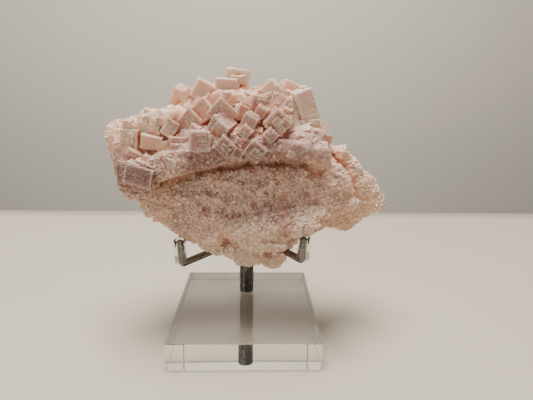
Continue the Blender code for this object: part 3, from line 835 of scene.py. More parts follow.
@dataclass
class Stand:
    """Acrylic base, post, arms and sleeves."""

    base_side: float = 63.5
    base_height: float = 12.5
    edge_round: float = 0.15
    seat_contact: float = 0.05
    gap: float = 0.3
    post_place: Pair = (0.0, 17.4)
    post_diameter: float = 7.2
    post_top: float = 49.0
    post_seat: float = 6.1
    post_soft: float = 0.5
    rod_diameter: float = 3.0
    rod_soft: float = 0.3
    bend_radius: float = 1.9
    bend_steps: int = 14
    rod_insert: float = 2.1
    front_arms: tuple[Arm, ...] = (Arm("left", 39.0, (-26.7, -16.1), 50.8, 41.0),
                                   Arm("right", 42.3, (23.8, -19.7), 53.6, 44.3))
    sleeve_diameter: float = 5.0
    sleeve_lip: float = 0.4
    sleeve_soft: float = 0.18
    back_rod_foot: float = 44.8
    back_foot: float = 52.0
    back_top: float = 75.0
    round_sides: int = 72
    hole_sides: int = 48
    cut_past: float = 2.0
    post_sharp: float = 30.0
    rod_sharp: float = 40.0
    sleeve_sharp: float = 50.0

    def upright(self, low: float, high: float) -> list[Vector]:
        """Route up the post's axis between two heights."""
        return [Vector((*self.post_place, height)) for height in (low, high)]

    def hole(self, name: str, route: Sequence[Vector], diameter: float) -> bpy.types.Object:
        """Rod shape that is cut away with the clearance of a fitted piece."""
        return sweep(name, route, diameter + 2.0 * self.gap, self.hole_sides)

    def cut(self, piece: bpy.types.Object, name: str, cutters: Iterable[bpy.types.Object]
            ) -> bpy.types.Object:
        """Cut holes out of a piece.

        Args:
            piece: The object to cut.
            name: The finished object's name.
            cutters: Objects that are removed afterwards.

        Returns:
            The finished object.
        """
        tools = list(cutters)
        for tool in tools:
            step = piece.modifiers.new("Hole", "BOOLEAN")
            step.operation = "DIFFERENCE"
            step.solver = "EXACT"
            step.object = tool
        made = baked(piece, name)
        for tool in tools:
            drop(tool)
        return made

    def base(self) -> bpy.types.Object:
        """Square block with a blind hole that grips the post without an air gap."""
        def fill(work: bmesh.types.BMesh) -> None:
            """Add the block with its fine edge."""
            bmesh.ops.create_cube(work, size=MM)
            sizes = Vector((self.base_side, self.base_side, self.base_height))
            bmesh.ops.scale(work, vec=sizes, verts=work.verts)
            bmesh.ops.translate(work, vec=(0, 0, self.base_height / 2 * MM), verts=work.verts)
            bmesh.ops.bevel(work, geom=list(work.edges), offset=self.edge_round * MM,
                            segments=1, affect="EDGES")
        block = add_object("base_block", mesh_from(fill, "base_block"))
        route = self.upright(self.post_seat + self.seat_contact, self.base_height + self.cut_past)
        bore = self.post_diameter - 2.0 * self.seat_contact
        socket = sweep("post_hole", route, bore, self.round_sides)
        return self.cut(block, "clear_base", [socket])

    def post(self) -> bpy.types.Object:
        """Post with rounded ends and the holes that hold the arms."""
        radius, soft = self.post_diameter / 2, self.post_soft
        profile = [(0.0, self.post_seat), (radius - soft, self.post_seat),
                   (radius, self.post_seat + soft), (radius, self.post_top - soft),
                   (radius - soft, self.post_top), (0.0, self.post_top)]
        rod = add_object("post_rod", mesh_from(lathe(profile, self.round_sides, False), "post_rod"))
        rod.data.transform(Matrix.Translation(Vector((*self.post_place, 0)) * MM))
        holes = []
        for arm in self.front_arms:
            start = Vector((*self.post_place, arm.height))
            out = (Vector((*arm.prong, arm.height)) - start).normalized()
            route = [start + out * (radius - self.rod_insert - self.gap), start + out * 3 * radius]
            holes.append(self.hole(f"{arm.side}_hole", route, self.rod_diameter))
        route = self.upright(self.back_rod_foot - self.gap, self.post_top + self.cut_past)
        holes.append(self.hole("top_hole", route, self.rod_diameter))
        return smoothed(self.cut(rod, "post_dressed", holes), self.post_sharp)

    def rod(self, name: str, route: Sequence[Vector]) -> bpy.types.Object:
        """Rod along a route, with softened tips."""
        made = sweep(name, route, self.rod_diameter, soft=self.rod_soft)
        return smoothed(made, self.rod_sharp)

    def front_rod(self, arm: Arm) -> bpy.types.Object:
        """Bent rod from the post to a prong.

        Args:
            arm: The arm that it makes.

        Returns:
            The rod.
        """
        start = Vector((*self.post_place, arm.height))
        corner = Vector((*arm.prong, arm.height))
        out = (corner - start).normalized()
        first = start + out * (self.post_diameter / 2 - self.rod_insert)
        last = Vector((*arm.prong, arm.top - self.sleeve_lip))
        route = rounded_route([first, corner, last], self.bend_radius, self.bend_steps)
        return self.rod(f"{arm.side}_rod", route)

    def sleeve(self, name: str, place: Pair, foot: float, top: float) -> bpy.types.Object:
        """Clear tube with soft lips.

        Args:
            name: The object's name.
            place: X and Y of its axis.
            foot: Height of its lower end.
            top: Height of its upper end.

        Returns:
            The sleeve.
        """
        inner, outer = self.rod_diameter / 2 + self.gap, self.sleeve_diameter / 2
        soft = self.sleeve_soft
        profile = [(inner + soft, foot), (outer - soft, foot), (outer, foot + soft),
                   (outer, top - soft), (outer - soft, top), (inner + soft, top),
                   (inner, top - soft), (inner, foot + soft)]
        made = add_object(name, mesh_from(lathe(profile, self.round_sides, True), name))
        made.data.transform(Matrix.Translation(Vector((*place, 0)) * MM))
        return smoothed(made, self.sleeve_sharp)

    def build(self) -> None:
        """Make and dress every piece of the stand."""
        # The acrylic's grey tint darkens the table seen through the base: painted shade for the
        # shadow beneath it.
        acrylic = ClearFinish("clear_acrylic", (0.885, 0.875, 0.86), 0.0, 1.49).material()
        vinyl = ClearFinish("clear_vinyl", (0.95, 0.94, 0.92), 0.1, 1.2).material()
        steel = SteelFinish("dark_steel").material()
        dress(self.base(), acrylic, Slot.ACRYLIC, "acrylic_base")
        dress(self.post(), steel, Slot.STEEL, "post")
        for arm in self.front_arms:
            dress(self.front_rod(arm), steel, Slot.STEEL, f"front_{arm.side}_arm")
            cover = self.sleeve(f"{arm.side}_sleeve", arm.prong, arm.foot, arm.top)
            dress(cover, vinyl, Slot.VINYL, f"front_{arm.side}_sleeve")
        rod = self.rod("back_rod", self.upright(self.back_rod_foot, self.back_top - self.sleeve_lip))
        dress(rod, steel, Slot.STEEL, "back_arm")
        cover = self.sleeve("rear_sleeve", self.post_place, self.back_foot, self.back_top)
        dress(cover, vinyl, Slot.VINYL, "back_sleeve")

    def keep_clear(self, points: np.ndarray) -> np.ndarray:
        """Push points of the specimen out of the stand's upright pieces.

        Args:
            points: Rows of X, Y and Z in metres.

        Returns:
            The moved points.
        """
        sleeve, rod, post = self.sleeve_diameter / 2, self.rod_diameter / 2, self.post_diameter / 2
        rooms = [(self.post_place, sleeve, self.back_foot, self.back_top),
                 (self.post_place, post, 0.0, self.post_top),
                 (self.post_place, rod, self.post_top, self.back_foot)]
        rooms += [(arm.prong, sleeve, arm.foot, arm.top) for arm in self.front_arms]
        moved = points.copy()
        for (x, y), radius, low, high in rooms:
            away = moved[:, :2] - np.array((x, y)) * MM
            reach = np.linalg.norm(away, axis=1)
            room = (radius + self.gap) * MM
            inside = (reach < room) & (moved[:, 2] > low * MM) & (moved[:, 2] < high * MM)
            grow = room / np.maximum(reach[inside], 1e-9)
            moved[inside, :2] = np.array((x, y)) * MM + away[inside] * grow[:, None]
        return moved


@dataclass
class CrystalShape:
    """Salt cube with growth steps on its faces and softened edges, in millimetres."""

    crisp: float = 0.2
    worn: float = 0.8
    large: float = 5.0
    small: float = 3.2
    most_steps: int = 5
    widest: float = 1.6
    wall: float = 0.035
    hopper_depth: float = 0.016
    step_depth: float = 0.014
    warp: float = 0.16
    frost_and_highlight_fall: float = 0.3
    frost_and_highlight_rise: float = 4.0
    frost_and_highlight_least: float = 0.1
    sharp: float = 28.0
    front_ends: float = -13.0
    worn_over: float = 10.0
    most_rounding: float = 0.16
    warp_scale: float = 0.22
    step_jitter: Pair = (0.15, 0.85)
    nested_sizes: Pair = (3.0, 9.0)
    nested_depth: Pair = (0.5, 1.5)
    rises: tuple[float, ...] = (-1.6, -1.0, -0.6, 0.6, 1.0)
    past_end: float = 99.0
    block_least: float = 4.5
    block_share: Pair = (0.3, 0.62)
    block_proud: Pair = (0.05, 0.1)
    block_reach: float = 1.02

    def rounding(self, cube: Cube) -> float:
        """Rounding of a crystal's edges: worn behind, crisp in front."""
        behind = min(1.0, max(0.0, (cube.centre[1] - self.front_ends) / self.worn_over))
        worn = self.crisp + (self.worn - self.crisp) * behind
        return min(worn, self.most_rounding * min(cube.sizes))

    def lines(self, size: float, soft: float, count: int, rng: random.Random
              ) -> tuple[list[float], list[float]]:
        """Places along one axis where the steps lie and where points go.

        Args:
            size: The crystal's size along the axis, in millimetres.
            soft: Rounding of its edges, in millimetres.
            count: Number of steps.
            rng: Source of their places.

        Returns:
            The steps, and the places of all points from end to end.
        """
        half = size / 2.0
        steps = []
        for index in range(count):
            share = (index + rng.uniform(*self.step_jitter)) / max(count, 1)
            steps.append((share - 0.5) * (size - 2.0 * soft - 4.0 * self.wall))
        places = [-half, -half + 0.4 * soft, -half + soft]
        for step in steps:
            places += [step - self.wall, step + self.wall]
        places += [half - soft, half - 0.4 * soft, half]
        filled = []
        for low, high in zip(places, places[1:]):
            parts = math.ceil((high - low) / self.widest)
            filled += [low + (high - low) * part / parts for part in range(parts)]
        return steps, [*filled, half]

    def plates(self, steps: Sequence[Sequence[float]], axis: int, least: float,
               rng: random.Random) -> list[tuple[float, float, float, float, float]]:
        """Raised or sunken rectangles of one face.

        Args:
            steps: Places of the steps along each axis.
            axis: The axis that the face looks along.
            least: The crystal's least size.
            rng: Source of their choice.

        Returns:
            Bounds along the face's two axes, and a height, in millimetres.
        """
        across, along = (steps[way] for way in range(3) if way != axis)
        found = []
        low, high = self.nested_sizes
        nested = rng.choice((0, 0, 1, 2)) if low < least < high else 0
        for level in range(min(nested, len(across) // 2, len(along) // 2)):
            sink = -self.hopper_depth * least * rng.uniform(*self.nested_depth)
            found.append((across[level], across[-1 - level], along[level], along[-1 - level], sink))
        for _ in range(rng.choice((1, 2, 3, 4))):
            spans = []
            for places in (across, along):
                ends = [-self.past_end, *places, self.past_end]
                low = rng.randrange(len(ends) - 1)
                high = rng.randrange(low + 1, len(ends))
                spans += [ends[low], ends[high]]
            rise = self.step_depth * least * rng.choice(self.rises)
            found.append((*spans, rise))
        return found

    def fill(self, work: bmesh.types.BMesh, cube: Cube, count: int, rng: random.Random) -> None:
        """Add one crystal in its place.

        Args:
            work: The bmesh to fill, which has layers named frost, tint and turn.
            cube: The crystal.
            count: Number of growth steps along each axis.
            rng: Source of the crystal's own irregularity.
        """
        frost = work.verts.layers.float["frost"]
        tint = work.verts.layers.float["tint"]
        turned = work.verts.layers.float_vector["turn"]
        own_tint = rng.random()
        angles = Vector([math.radians(angle) for angle in cube.turns])
        least = min(cube.sizes)
        soft = self.rounding(cube)
        both = [self.lines(size, soft, count, rng) for size in cube.sizes]
        steps, places = [one[0] for one in both], [one[1] for one in both]
        faces = {(axis, way): self.plates(steps, axis, least, rng)
                 for axis in range(3) for way in (-1, 1)}
        turn = Euler(angles).to_matrix()
        last = [len(line) - 1 for line in places]
        made = {}

        def point(key: tuple[int, int, int]) -> bmesh.types.BMVert:
            """Find or add the point at a place of the grid.

            Args:
                key: Its numbers along the crystal's three axes.

            Returns:
                The point, set in or out by the growth steps.
            """
            if key in made:
                return made[key]
            local = [places[axis][key[axis]] for axis in range(3)]
            inner = Vector([max(-size / 2.0 + soft, min(size / 2.0 - soft, part))
                            for size, part in zip(cube.sizes, local)])
            moved = inner + (Vector(local) - inner).normalized() * soft
            glow = 0.0
            sides = [axis for axis in range(3) if key[axis] in (0, last[axis])]
            for axis in sides:
                way = 1 if key[axis] else -1
                one, two = (other for other in range(3) if other != axis)
                height = sum(rise for low, high, near, far, rise in faces[axis, way]
                             if low < local[one] < high and near < local[two] < far)
                moved[axis] += way * (min(height, 0.0) if len(sides) > 1 else height)
                # Edges and raised steps get paler: partly the salt's own white rims, partly painted
                # highlight.
                edge = min(cube.sizes[other] / 2.0 - abs(local[other]) for other in (one, two))
                raised = self.frost_and_highlight_least + self.frost_and_highlight_rise * height / least
                glow = max(glow, math.exp(-edge / self.frost_and_highlight_fall), raised)
            sway = noise.noise_vector(moved * self.warp_scale + Vector(cube.centre))
            spot = moved + sway * self.warp
            made[key] = work.verts.new((Vector(cube.centre) + turn @ spot) * MM)
            made[key][frost] = min(1.0, max(0.0, glow))
            made[key][tint] = own_tint
            made[key][turned] = angles
            return made[key]

        for axis in range(3):
            one, two = (axis + 1) % 3, (axis + 2) % 3
            for end in (0, last[axis]):
                for first in range(last[one]):
                    for second in range(last[two]):
                        corners = []
                        for right, up in ((0, 0), (1, 0), (1, 1), (0, 1)):
                            key = [0, 0, 0]
                            key[axis], key[one], key[two] = end, first + right, second + up
                            corners.append(point(tuple(key)))
                        work.faces.new(corners if end else list(reversed(corners)))

    def companions(self, cube: Cube, rng: random.Random) -> list[Cube]:
        """Smaller blocks in step with a large crystal, proud of its faces.

        Args:
            cube: The large crystal.
            rng: Source of their places.

        Returns:
            The blocks, which share the crystal's turns.
        """
        least = min(cube.sizes)
        blocks = []
        turn = Euler([math.radians(angle) for angle in cube.turns]).to_matrix()
        for index in range(rng.choice((1, 2, 3, 3)) if least >= self.block_least else 0):
            sizes = tuple(size * rng.uniform(*self.block_share) for size in cube.sizes)
            axis = rng.randrange(3)
            proud = rng.uniform(*self.block_proud) * least
            place = []
            for way in range(3):
                room = (cube.sizes[way] - sizes[way]) / 2.0
                if way == axis:
                    place.append(rng.choice((-1.0, 1.0)) * (room + proud))
                else:
                    place.append(rng.uniform(-room, room) * self.block_reach)
            centre = Vector(cube.centre) + turn @ Vector(place)
            blocks.append(Cube(f"{cube.name}_{index}", tuple(centre), sizes, cube.turns))
        return blocks

    def grown(self, name: str, cubes: Sequence[Cube], seed: int) -> bpy.types.Object:
        """Make one skin of many crystals that grow into each other.

        Args:
            name: The object's name.
            cubes: The crystals to place.
            seed: Fixes their irregularity.

        Returns:
            The object, with a frost, a tint and a turn value on each point.
        """
        rng = random.Random(seed)
        tools = bpy.data.collections.new(f"{name}_tools")
        bpy.context.scene.collection.children.link(tools)
        crystals = []
        for cube in cubes:
            def fill(work: bmesh.types.BMesh, cube: Cube = cube) -> None:
                """Add the layers and the crystal."""
                work.verts.layers.float.new("frost")
                work.verts.layers.float.new("tint")
                work.verts.layers.float_vector.new("turn")
                least = min(cube.sizes)
                steps = self.most_steps if least > self.large and cube in CUBES else 3
                self.fill(work, cube, steps if least > self.small else 2, rng)
            crystals.append(bpy.data.objects.new(cube.name, mesh_from(fill, cube.name)))
        first, *others = crystals
        bpy.context.scene.collection.objects.link(first)
        for other in others:
            tools.objects.link(other)
        unite = first.modifiers.new("Unite", "BOOLEAN")
        unite.operation = "UNION"
        unite.solver = "MANIFOLD"
        unite.operand_type = "COLLECTION"
        unite.collection = tools
        made = baked(first, name)
        for other in others:
            drop(other)
        bpy.data.collections.remove(tools)
        return smoothed(made, self.sharp)


@dataclass
class Crust:
    """Granular mass that the crystals grow from."""

    voxel: float = 0.95
    fine_voxel: float = 0.52
    smoothing: int = 6
    fatten: float = 0.8
    weld: float = 0.01
    crevice_depth: float = -13.5
    crevice_radius: float = 2.2
    crevice_sides: int = 16
    relief: tuple[Pair, ...] = ((9.0, 1.6), (3.6, 1.5))

    def slab(self, slab: Slab) -> bpy.types.Object:
        """Make one slab with rounded edges."""
        curve = bpy.data.curves.new(slab.name, "CURVE")
        curve.dimensions = "2D"
        curve.fill_mode = "BOTH"
        curve.extrude = ((slab.back - slab.front) / 2 - slab.rounding) * MM
        curve.bevel_depth = slab.rounding * MM
        curve.bevel_resolution = 2
        curve.offset = (self.fatten - slab.rounding) * MM
        line = curve.splines.new("POLY")
        line.points.add(len(slab.outline) - 1)
        for knot, (x, z) in zip(line.points, slab.outline):
            knot.co = (x * MM, z * MM, 0.0, 1.0)
        line.use_cyclic_u = True
        made = bpy.data.objects.new(f"{slab.name}_curve", curve)
        bpy.context.scene.collection.objects.link(made)
        made.location.y = (slab.front + slab.back) / 2 * MM
        made.rotation_euler.x = math.radians(90)
        return baked(made, slab.name, self.weld)

    def swelling(self, shape: Swelling) -> bpy.types.Object:
        """Make one ellipsoid."""
        def fill(work: bmesh.types.BMesh) -> None:
            """Add a ball and stretch it."""
            bmesh.ops.create_uvsphere(work, u_segments=20, v_segments=12, radius=MM)
            bmesh.ops.scale(work, vec=Vector(shape.half_sizes), verts=work.verts)
        made = add_object(f"{shape.name}_ball", mesh_from(fill, shape.name))
        made.location = Vector(shape.centre) * MM
        made.rotation_euler.y = math.radians(shape.roll)
        return baked(made, shape.name)

    def fuse(self, body: bpy.types.Object, voxel: float) -> None:
        """Add a voxel remesh, which makes one skin of what overlaps."""
        step = body.modifiers.new("Fuse", "REMESH")
        step.mode = "VOXEL"
        step.voxel_size = voxel * MM

    def base_mesh(self) -> bpy.types.Object:
        """Fuse slabs and swellings, cut the crevice and add the broad lumps."""
        shapes = [self.slab(slab) for slab in SLABS]
        shapes += [self.swelling(shape) for shape in SWELLINGS]
        body = merged("crust", shapes)
        groove = sweep("crevice", [Vector((x, self.crevice_depth, z)) for x, z in CREVICE],
                       2 * self.crevice_radius, self.crevice_sides)
        self.fuse(body, self.voxel)
        step = body.modifiers.new("Crevice", "BOOLEAN")
        step.operation = "DIFFERENCE"
        step.solver = "EXACT"
        step.object = groove
        self.fuse(body, self.voxel)
        soften = body.modifiers.new("Soften", "SMOOTH")
        soften.iterations = self.smoothing
        for scale, strength in self.relief:
            texture = bpy.data.textures.new(f"lumps_{scale}", "CLOUDS")
            texture.noise_scale = scale * MM
            lumps = body.modifiers.new("Lumps", "DISPLACE")
            lumps.texture = texture
            lumps.strength = strength * MM
            lumps.mid_level = 0.5
            lumps.texture_coords = "GLOBAL"
        self.fuse(body, self.fine_voxel)
        made = baked(body, "crust_skin")
        drop(groove)
        return made


@dataclass
class Zones:
    """Soft masks over the specimen.

    Each smoothstep goes from the place, in millimetres, where a mask starts to where it is full.
    """

    points: np.ndarray

    def __post_init__(self) -> None:
        """Split the places into X, Y and Z."""
        self.x, self.y, self.z = (self.points / MM).T
        line = np.array(CREVICE)
        self.above = self.z - np.interp(self.x, line[:, 0], line[:, 1])

    def front(self) -> np.ndarray:
        """Faces of the front plate, below the shelf."""
        return smoothstep(2.0, -6.0, self.y) * smoothstep(3.0, -1.0, self.above)

    def upper(self) -> np.ndarray:
        """Shelf, left block and crown, where crystals stand."""
        wing = smoothstep(26.0, 33.0, self.x)
        return smoothstep(-1.0, 3.0, self.above) * (1.0 - wing)

    def shelf(self) -> np.ndarray:
        """Rounded band below the crystals."""
        return smoothstep(0.0, 2.0, self.above) * smoothstep(13.0, 8.0, self.above) \
            * smoothstep(0.0, -8.0, self.y)

    def satin(self) -> np.ndarray:
        """Right part of the shelf, which is smooth."""
        return self.shelf() * smoothstep(6.0, 12.0, self.x)

    def crevice(self) -> np.ndarray:
        """Narrow hollow under the shelf."""
        return hump(-1.0, 1.3, self.above) * smoothstep(-4.0, -8.0, self.y) \
            * smoothstep(-44.0, -38.0, self.x) * smoothstep(34.0, 28.0, self.x) \
            * (1.1 * smoothstep(-20.0, 2.0, self.x) - 0.1)

    def crown(self) -> np.ndarray:
        """High part, between the large crystals."""
        return smoothstep(8.0, 12.0, self.above) * smoothstep(32.0, 26.0, self.x)

    def wings(self) -> np.ndarray:
        """Thin back plate that shows on the left and on the right."""
        right = smoothstep(34.0, 44.0, self.x + 0.3 * self.y)
        left = smoothstep(-46.0, -53.0, self.x - 0.4 * self.y)
        return np.maximum(right, left) * smoothstep(-7.0, -2.0, self.y)

    def back(self) -> np.ndarray:
        """Side that faces away."""
        return smoothstep(3.0, 8.0, self.y)

    def low(self) -> np.ndarray:
        """Lower edge of the front plate."""
        return smoothstep(62.0, 49.0, self.z)

    def warmth(self) -> np.ndarray:
        """How peach the salt is: mauve in front, warmer behind and along the rims; painted light
        also makes the front plate's lower rim peach and painted shade keeps its middle mauve.
        """
        deeper = 0.6 * smoothstep(-16.0, -3.0, self.y)
        sides = 0.4 * smoothstep(-22.0, -38.0, self.x) + 0.35 * smoothstep(20.0, 36.0, self.x)
        # The lower rim's share is painted light, where the plate bulges out into light from above.
        plate = self.front() * (0.6 * self.low() + sides)
        high = 0.4 * smoothstep(94.0, 108.0, self.z)
        block = 0.8 * smoothstep(-27.0, -32.0, self.x) * smoothstep(84.0, 90.0, self.z)
        skirt = 0.45 * smoothstep(47.0, 43.0, self.z)
        # Painted shade: the middle of the front plate, below the shelf, kept mauve and darker.
        middle_shade = 0.35 * hump(1.0, 15.0, self.x) * hump(66.0, 8.0, self.z)
        total = 0.08 + deeper + 0.5 * self.wings() + plate + high + block - skirt - middle_shade
        return np.clip(total, 0.0, 1.0)

    def cream(self) -> np.ndarray:
        """How milky and pale the salt is: partly the high crystals' own milkiness, partly painted
        light from above on the summit, the high blocks and the lower rim of the front plate.
        """
        block = smoothstep(17.0, 20.0, self.x) * smoothstep(94.0, 98.0, self.z)
        summit = smoothstep(110.0, 114.0, self.z)
        slab = smoothstep(-27.0, -31.0, self.x) * smoothstep(88.0, 96.0, self.z)
        # Painted light: the lower rim of the front plate, which bulges out into light from above.
        edge = 0.45 * self.front() * smoothstep(60.0, 52.0, self.z + 0.25 * np.abs(self.x - 4.0))
        total = 0.8 * block + 0.6 * summit + 0.5 * slab + 0.15 * self.wings() + edge
        return np.clip(total, 0.0, 1.0)

    def dusk(self) -> np.ndarray:
        """How dark and mauve the salt is, where light falls least."""
        left = smoothstep(-30.0, -36.0, self.x) * smoothstep(84.0, 79.0, self.z)
        lit = smoothstep(-9.0, -14.0, self.x) * smoothstep(86.5, 88.5, self.z)
        row = smoothstep(95.0, 88.0, self.z) * smoothstep(-26.0, -20.0, self.x) * (1.0 - lit)
        band = smoothstep(-1.0, 1.0, self.above) * smoothstep(-6.0, -11.0, self.y)
        facing = smoothstep(-30.0, -24.0, self.x) * smoothstep(28.0, 20.0, self.x)
        satin = 1.0 - 0.4 * self.satin() * smoothstep(1.0, 6.0, self.above)
        valley = 0.5 * hump(4.0, 8.0, self.x) * hump(103.0, 5.0, self.z)
        under = 0.4 * hump(-3.5, 3.0, self.above) * smoothstep(-4.0, -8.0, self.y)
        foot = 0.9 * smoothstep(-30.0, -37.0, self.x) * hump(73.0, 4.5, self.z)
        total = band * (left + row * facing * satin) + under * facing + valley + foot
        return np.clip(total, 0.0, 1.0)


def reach_of(route: Sequence[Pair], x: np.ndarray, z: np.ndarray) -> np.ndarray:
    """Distance of places from a route in the XZ plane.

    Args:
        route: Corners of the route, in millimetres.
        x: X of the places, in millimetres.
        z: Z of the places, in millimetres.

    Returns:
        One distance for each place.
    """
    least = np.full(len(x), np.inf)
    for (x0, z0), (x1, z1) in zip(route, route[1:]):
        long_x, long_z = x1 - x0, z1 - z0
        share = ((x - x0) * long_x + (z - z0) * long_z) / (long_x ** 2 + long_z ** 2)
        share = np.clip(share, 0.0, 1.0)
        least = np.minimum(least, np.hypot(x - x0 - share * long_x, z - z0 - share * long_z))
    return least


def patchy(points: np.ndarray, size: float, shift: float) -> np.ndarray:
    """Slow noise over places, from 0 to 1.

    Args:
        points: Rows of X, Y and Z in metres.
        size: Size of the patches, in millimetres.
        shift: Moves the pattern, in patches.

    Returns:
        One value for each place.
    """
    moved = points / (MM * size) + shift
    return np.array([0.5 + 0.5 * noise.noise(Vector(place)) for place in moved])


@dataclass
class Scatter:
    """Geometry Nodes that grow small salt cubes on a skin."""

    name: str
    mask: Grain
    density: float
    smallest: float
    largest: float
    sink: float
    turn: float
    seed: int
    soft_edges: bool = False
    pale: float = 0.9
    dull: float = 0.15
    border: float = 0.16
    dish: float = 0.02
    stretch: Pair = (0.75, 1.2)

    def template(self) -> bpy.types.Object:
        """Unit cube that is repeated, a millimetre across."""
        def fill(work: bmesh.types.BMesh) -> None:
            """Add the cube, with paler corners and slightly proud faces."""
            frost = work.verts.layers.float.new("frost")
            bmesh.ops.create_cube(work, size=MM)
            if self.soft_edges:
                for face in list(work.faces):
                    bmesh.ops.inset_individual(work, faces=[face], thickness=self.border * MM,
                                               depth=-self.dish * MM)
            for vert in work.verts:
                outer = all(abs(part) > 0.499 * MM for part in vert.co)
                vert[frost] = self.pale if outer else self.dull
        return add_object(f"{self.name}_unit", mesh_from(fill, f"{self.name}_unit"))

    def tree(self) -> bpy.types.GeometryNodeTree:
        """Build the node tree with named inputs."""
        tree = bpy.data.node_groups.new(f"{self.name}_tree", "GeometryNodeTree")
        kinds = {"Geometry": "Geometry", "Density": "Float", "Smallest": "Float",
                 "Largest": "Float", "Sink": "Float", "Turn": "Float", "Seed": "Int",
                 "Mask": "String", "Unit": "Object", "Finish": "Material"}
        for label, kind in kinds.items():
            tree.interface.new_socket(label, in_out="INPUT", socket_type=f"NodeSocket{kind}")
        tree.interface.new_socket("Geometry", in_out="OUTPUT", socket_type="NodeSocketGeometry")
        graph = Graph(tree)
        given = graph.add("NodeGroupInput").outputs
        mask = graph.add("GeometryNodeInputNamedAttribute", {"Name": given["Mask"]},
                         data_type="FLOAT")
        spread = graph.add("GeometryNodeDistributePointsOnFaces", {
            "Mesh": given["Geometry"], "Seed": given["Seed"],
            "Density": graph.math("MULTIPLY", given["Density"], mask.outputs["Attribute"]),
        }, distribute_method="RANDOM")
        size = self.random(graph, given, "FLOAT", given["Smallest"], given["Largest"], 1)
        least_turn = graph.math("MULTIPLY", given["Turn"], -1.0)
        jitter = self.random(graph, given, "FLOAT_VECTOR", least_turn, given["Turn"], 2)
        own = graph.add("GeometryNodeInputNamedAttribute", {"Name": "turn"},
                        data_type="FLOAT_VECTOR")
        angles = graph.add("ShaderNodeVectorMath", {0: jitter, 1: own.outputs["Attribute"]},
                           operation="ADD")
        least, most = ((share,) * 3 for share in self.stretch)
        stretch = self.random(graph, given, "FLOAT_VECTOR", least, most, 3)
        scale = graph.add("ShaderNodeVectorMath", {0: stretch, "Scale": size}, operation="SCALE")
        depth = graph.math("MULTIPLY", graph.math("MULTIPLY", size, given["Sink"]), -MM)
        inward = graph.add("ShaderNodeVectorMath", {0: spread.outputs["Normal"], "Scale": depth},
                           operation="SCALE")
        sunk = graph.add("GeometryNodeSetPosition", {
            "Geometry": spread.outputs["Points"], "Offset": inward.outputs[0]})
        tinted = graph.add("GeometryNodeStoreNamedAttribute", {
            "Name": "tint", "Geometry": sunk.outputs["Geometry"],
            "Value": self.random(graph, given, "FLOAT", 0.0, 1.0, 4),
        }, data_type="FLOAT", domain="POINT")
        unit = graph.add("GeometryNodeObjectInfo", {"Object": given["Unit"]})
        copies = graph.add("GeometryNodeInstanceOnPoints", {
            "Points": tinted.outputs["Geometry"], "Instance": unit.outputs["Geometry"],
            "Rotation": angles.outputs[0], "Scale": scale.outputs[0]})
        real = graph.add("GeometryNodeRealizeInstances", {"Geometry": copies.outputs["Instances"]})
        finish = graph.add("GeometryNodeSetMaterial", {
            "Geometry": real.outputs["Geometry"], "Material": given["Finish"]})
        graph.add("NodeGroupOutput", {"Geometry": finish.outputs["Geometry"]})
        return tree

    def random(self, graph: Graph, given: bpy.types.NodeOutputs, kind: str, low: object,
               high: object, stream: int) -> bpy.types.NodeSocket:
        """Add a Random Value node.

        Args:
            graph: The tree's graph.
            given: Outputs of the group's input node.
            kind: FLOAT or FLOAT_VECTOR.
            low: Lowest value or output.
            high: Highest value or output.
            stream: Keeps this draw apart from the others.

        Returns:
            The random value.
        """
        first, last, result = {"FLOAT": (2, 3, 1), "FLOAT_VECTOR": (0, 1, 0)}[kind]
        seed = graph.math("ADD", given["Seed"], stream)
        node = graph.add("FunctionNodeRandomValue", {first: low, last: high, "Seed": seed},
                         data_type=kind)
        return node.outputs[result]

    def grow(self, skin: bpy.types.Mesh, finish: bpy.types.Material) -> bpy.types.Object:
        """Grow the cubes and turn them into a plain mesh.

        Args:
            skin: Mesh that they grow on, with the mask on its points.
            finish: Their material.

        Returns:
            The object that holds them.
        """
        host = add_object(f"{self.name}_host", skin.copy())
        unit = self.template()
        step = host.modifiers.new("Grow", "NODES")
        tree = self.tree()
        step.node_group = tree
        values = {"Density": self.density / MM ** 2, "Smallest": self.smallest,
                  "Largest": self.largest, "Sink": self.sink, "Turn": math.radians(self.turn),
                  "Seed": self.seed, "Mask": self.mask.value, "Unit": unit, "Finish": finish}
        for socket in tree.interface.items_tree:
            if socket.in_out == "INPUT" and socket.name in values:
                step[socket.identifier] = values[socket.name]
        host.update_tag()
        made = baked(host, self.name)
        drop(unit)
        return made


CRUST_GRAINS = (
    Scatter("druse_cubes", Grain.DRUSE, 0.08, 1.4, 3.0, 0.25, 30.0, 3, True),
    Scatter("crumb_cubes", Grain.CRUMB, 1.0, 0.6, 1.4, 0.1, 45.0, 7, False, 0.85),
    Scatter("sugar_grains", Grain.SUGAR, 2.6, 0.4, 0.9, 0.0, 45.0, 13, False, 0.8),
)


@dataclass(frozen=True)
class Ground:
    """Part of the front that lesser crystals fill: its span, and their edges and rolls."""

    across: Pair
    up: Pair
    edges: Pair
    rolls: Pair
    count: int


GROUNDS = (
    Ground((-31.0, 28.0), (93.0, 110.0), (4.5, 9.0), (10.0, 75.0), 55),
    Ground((-46.0, -28.0), (80.0, 100.0), (3.2, 6.0), (-14.0, 12.0), 10),
)


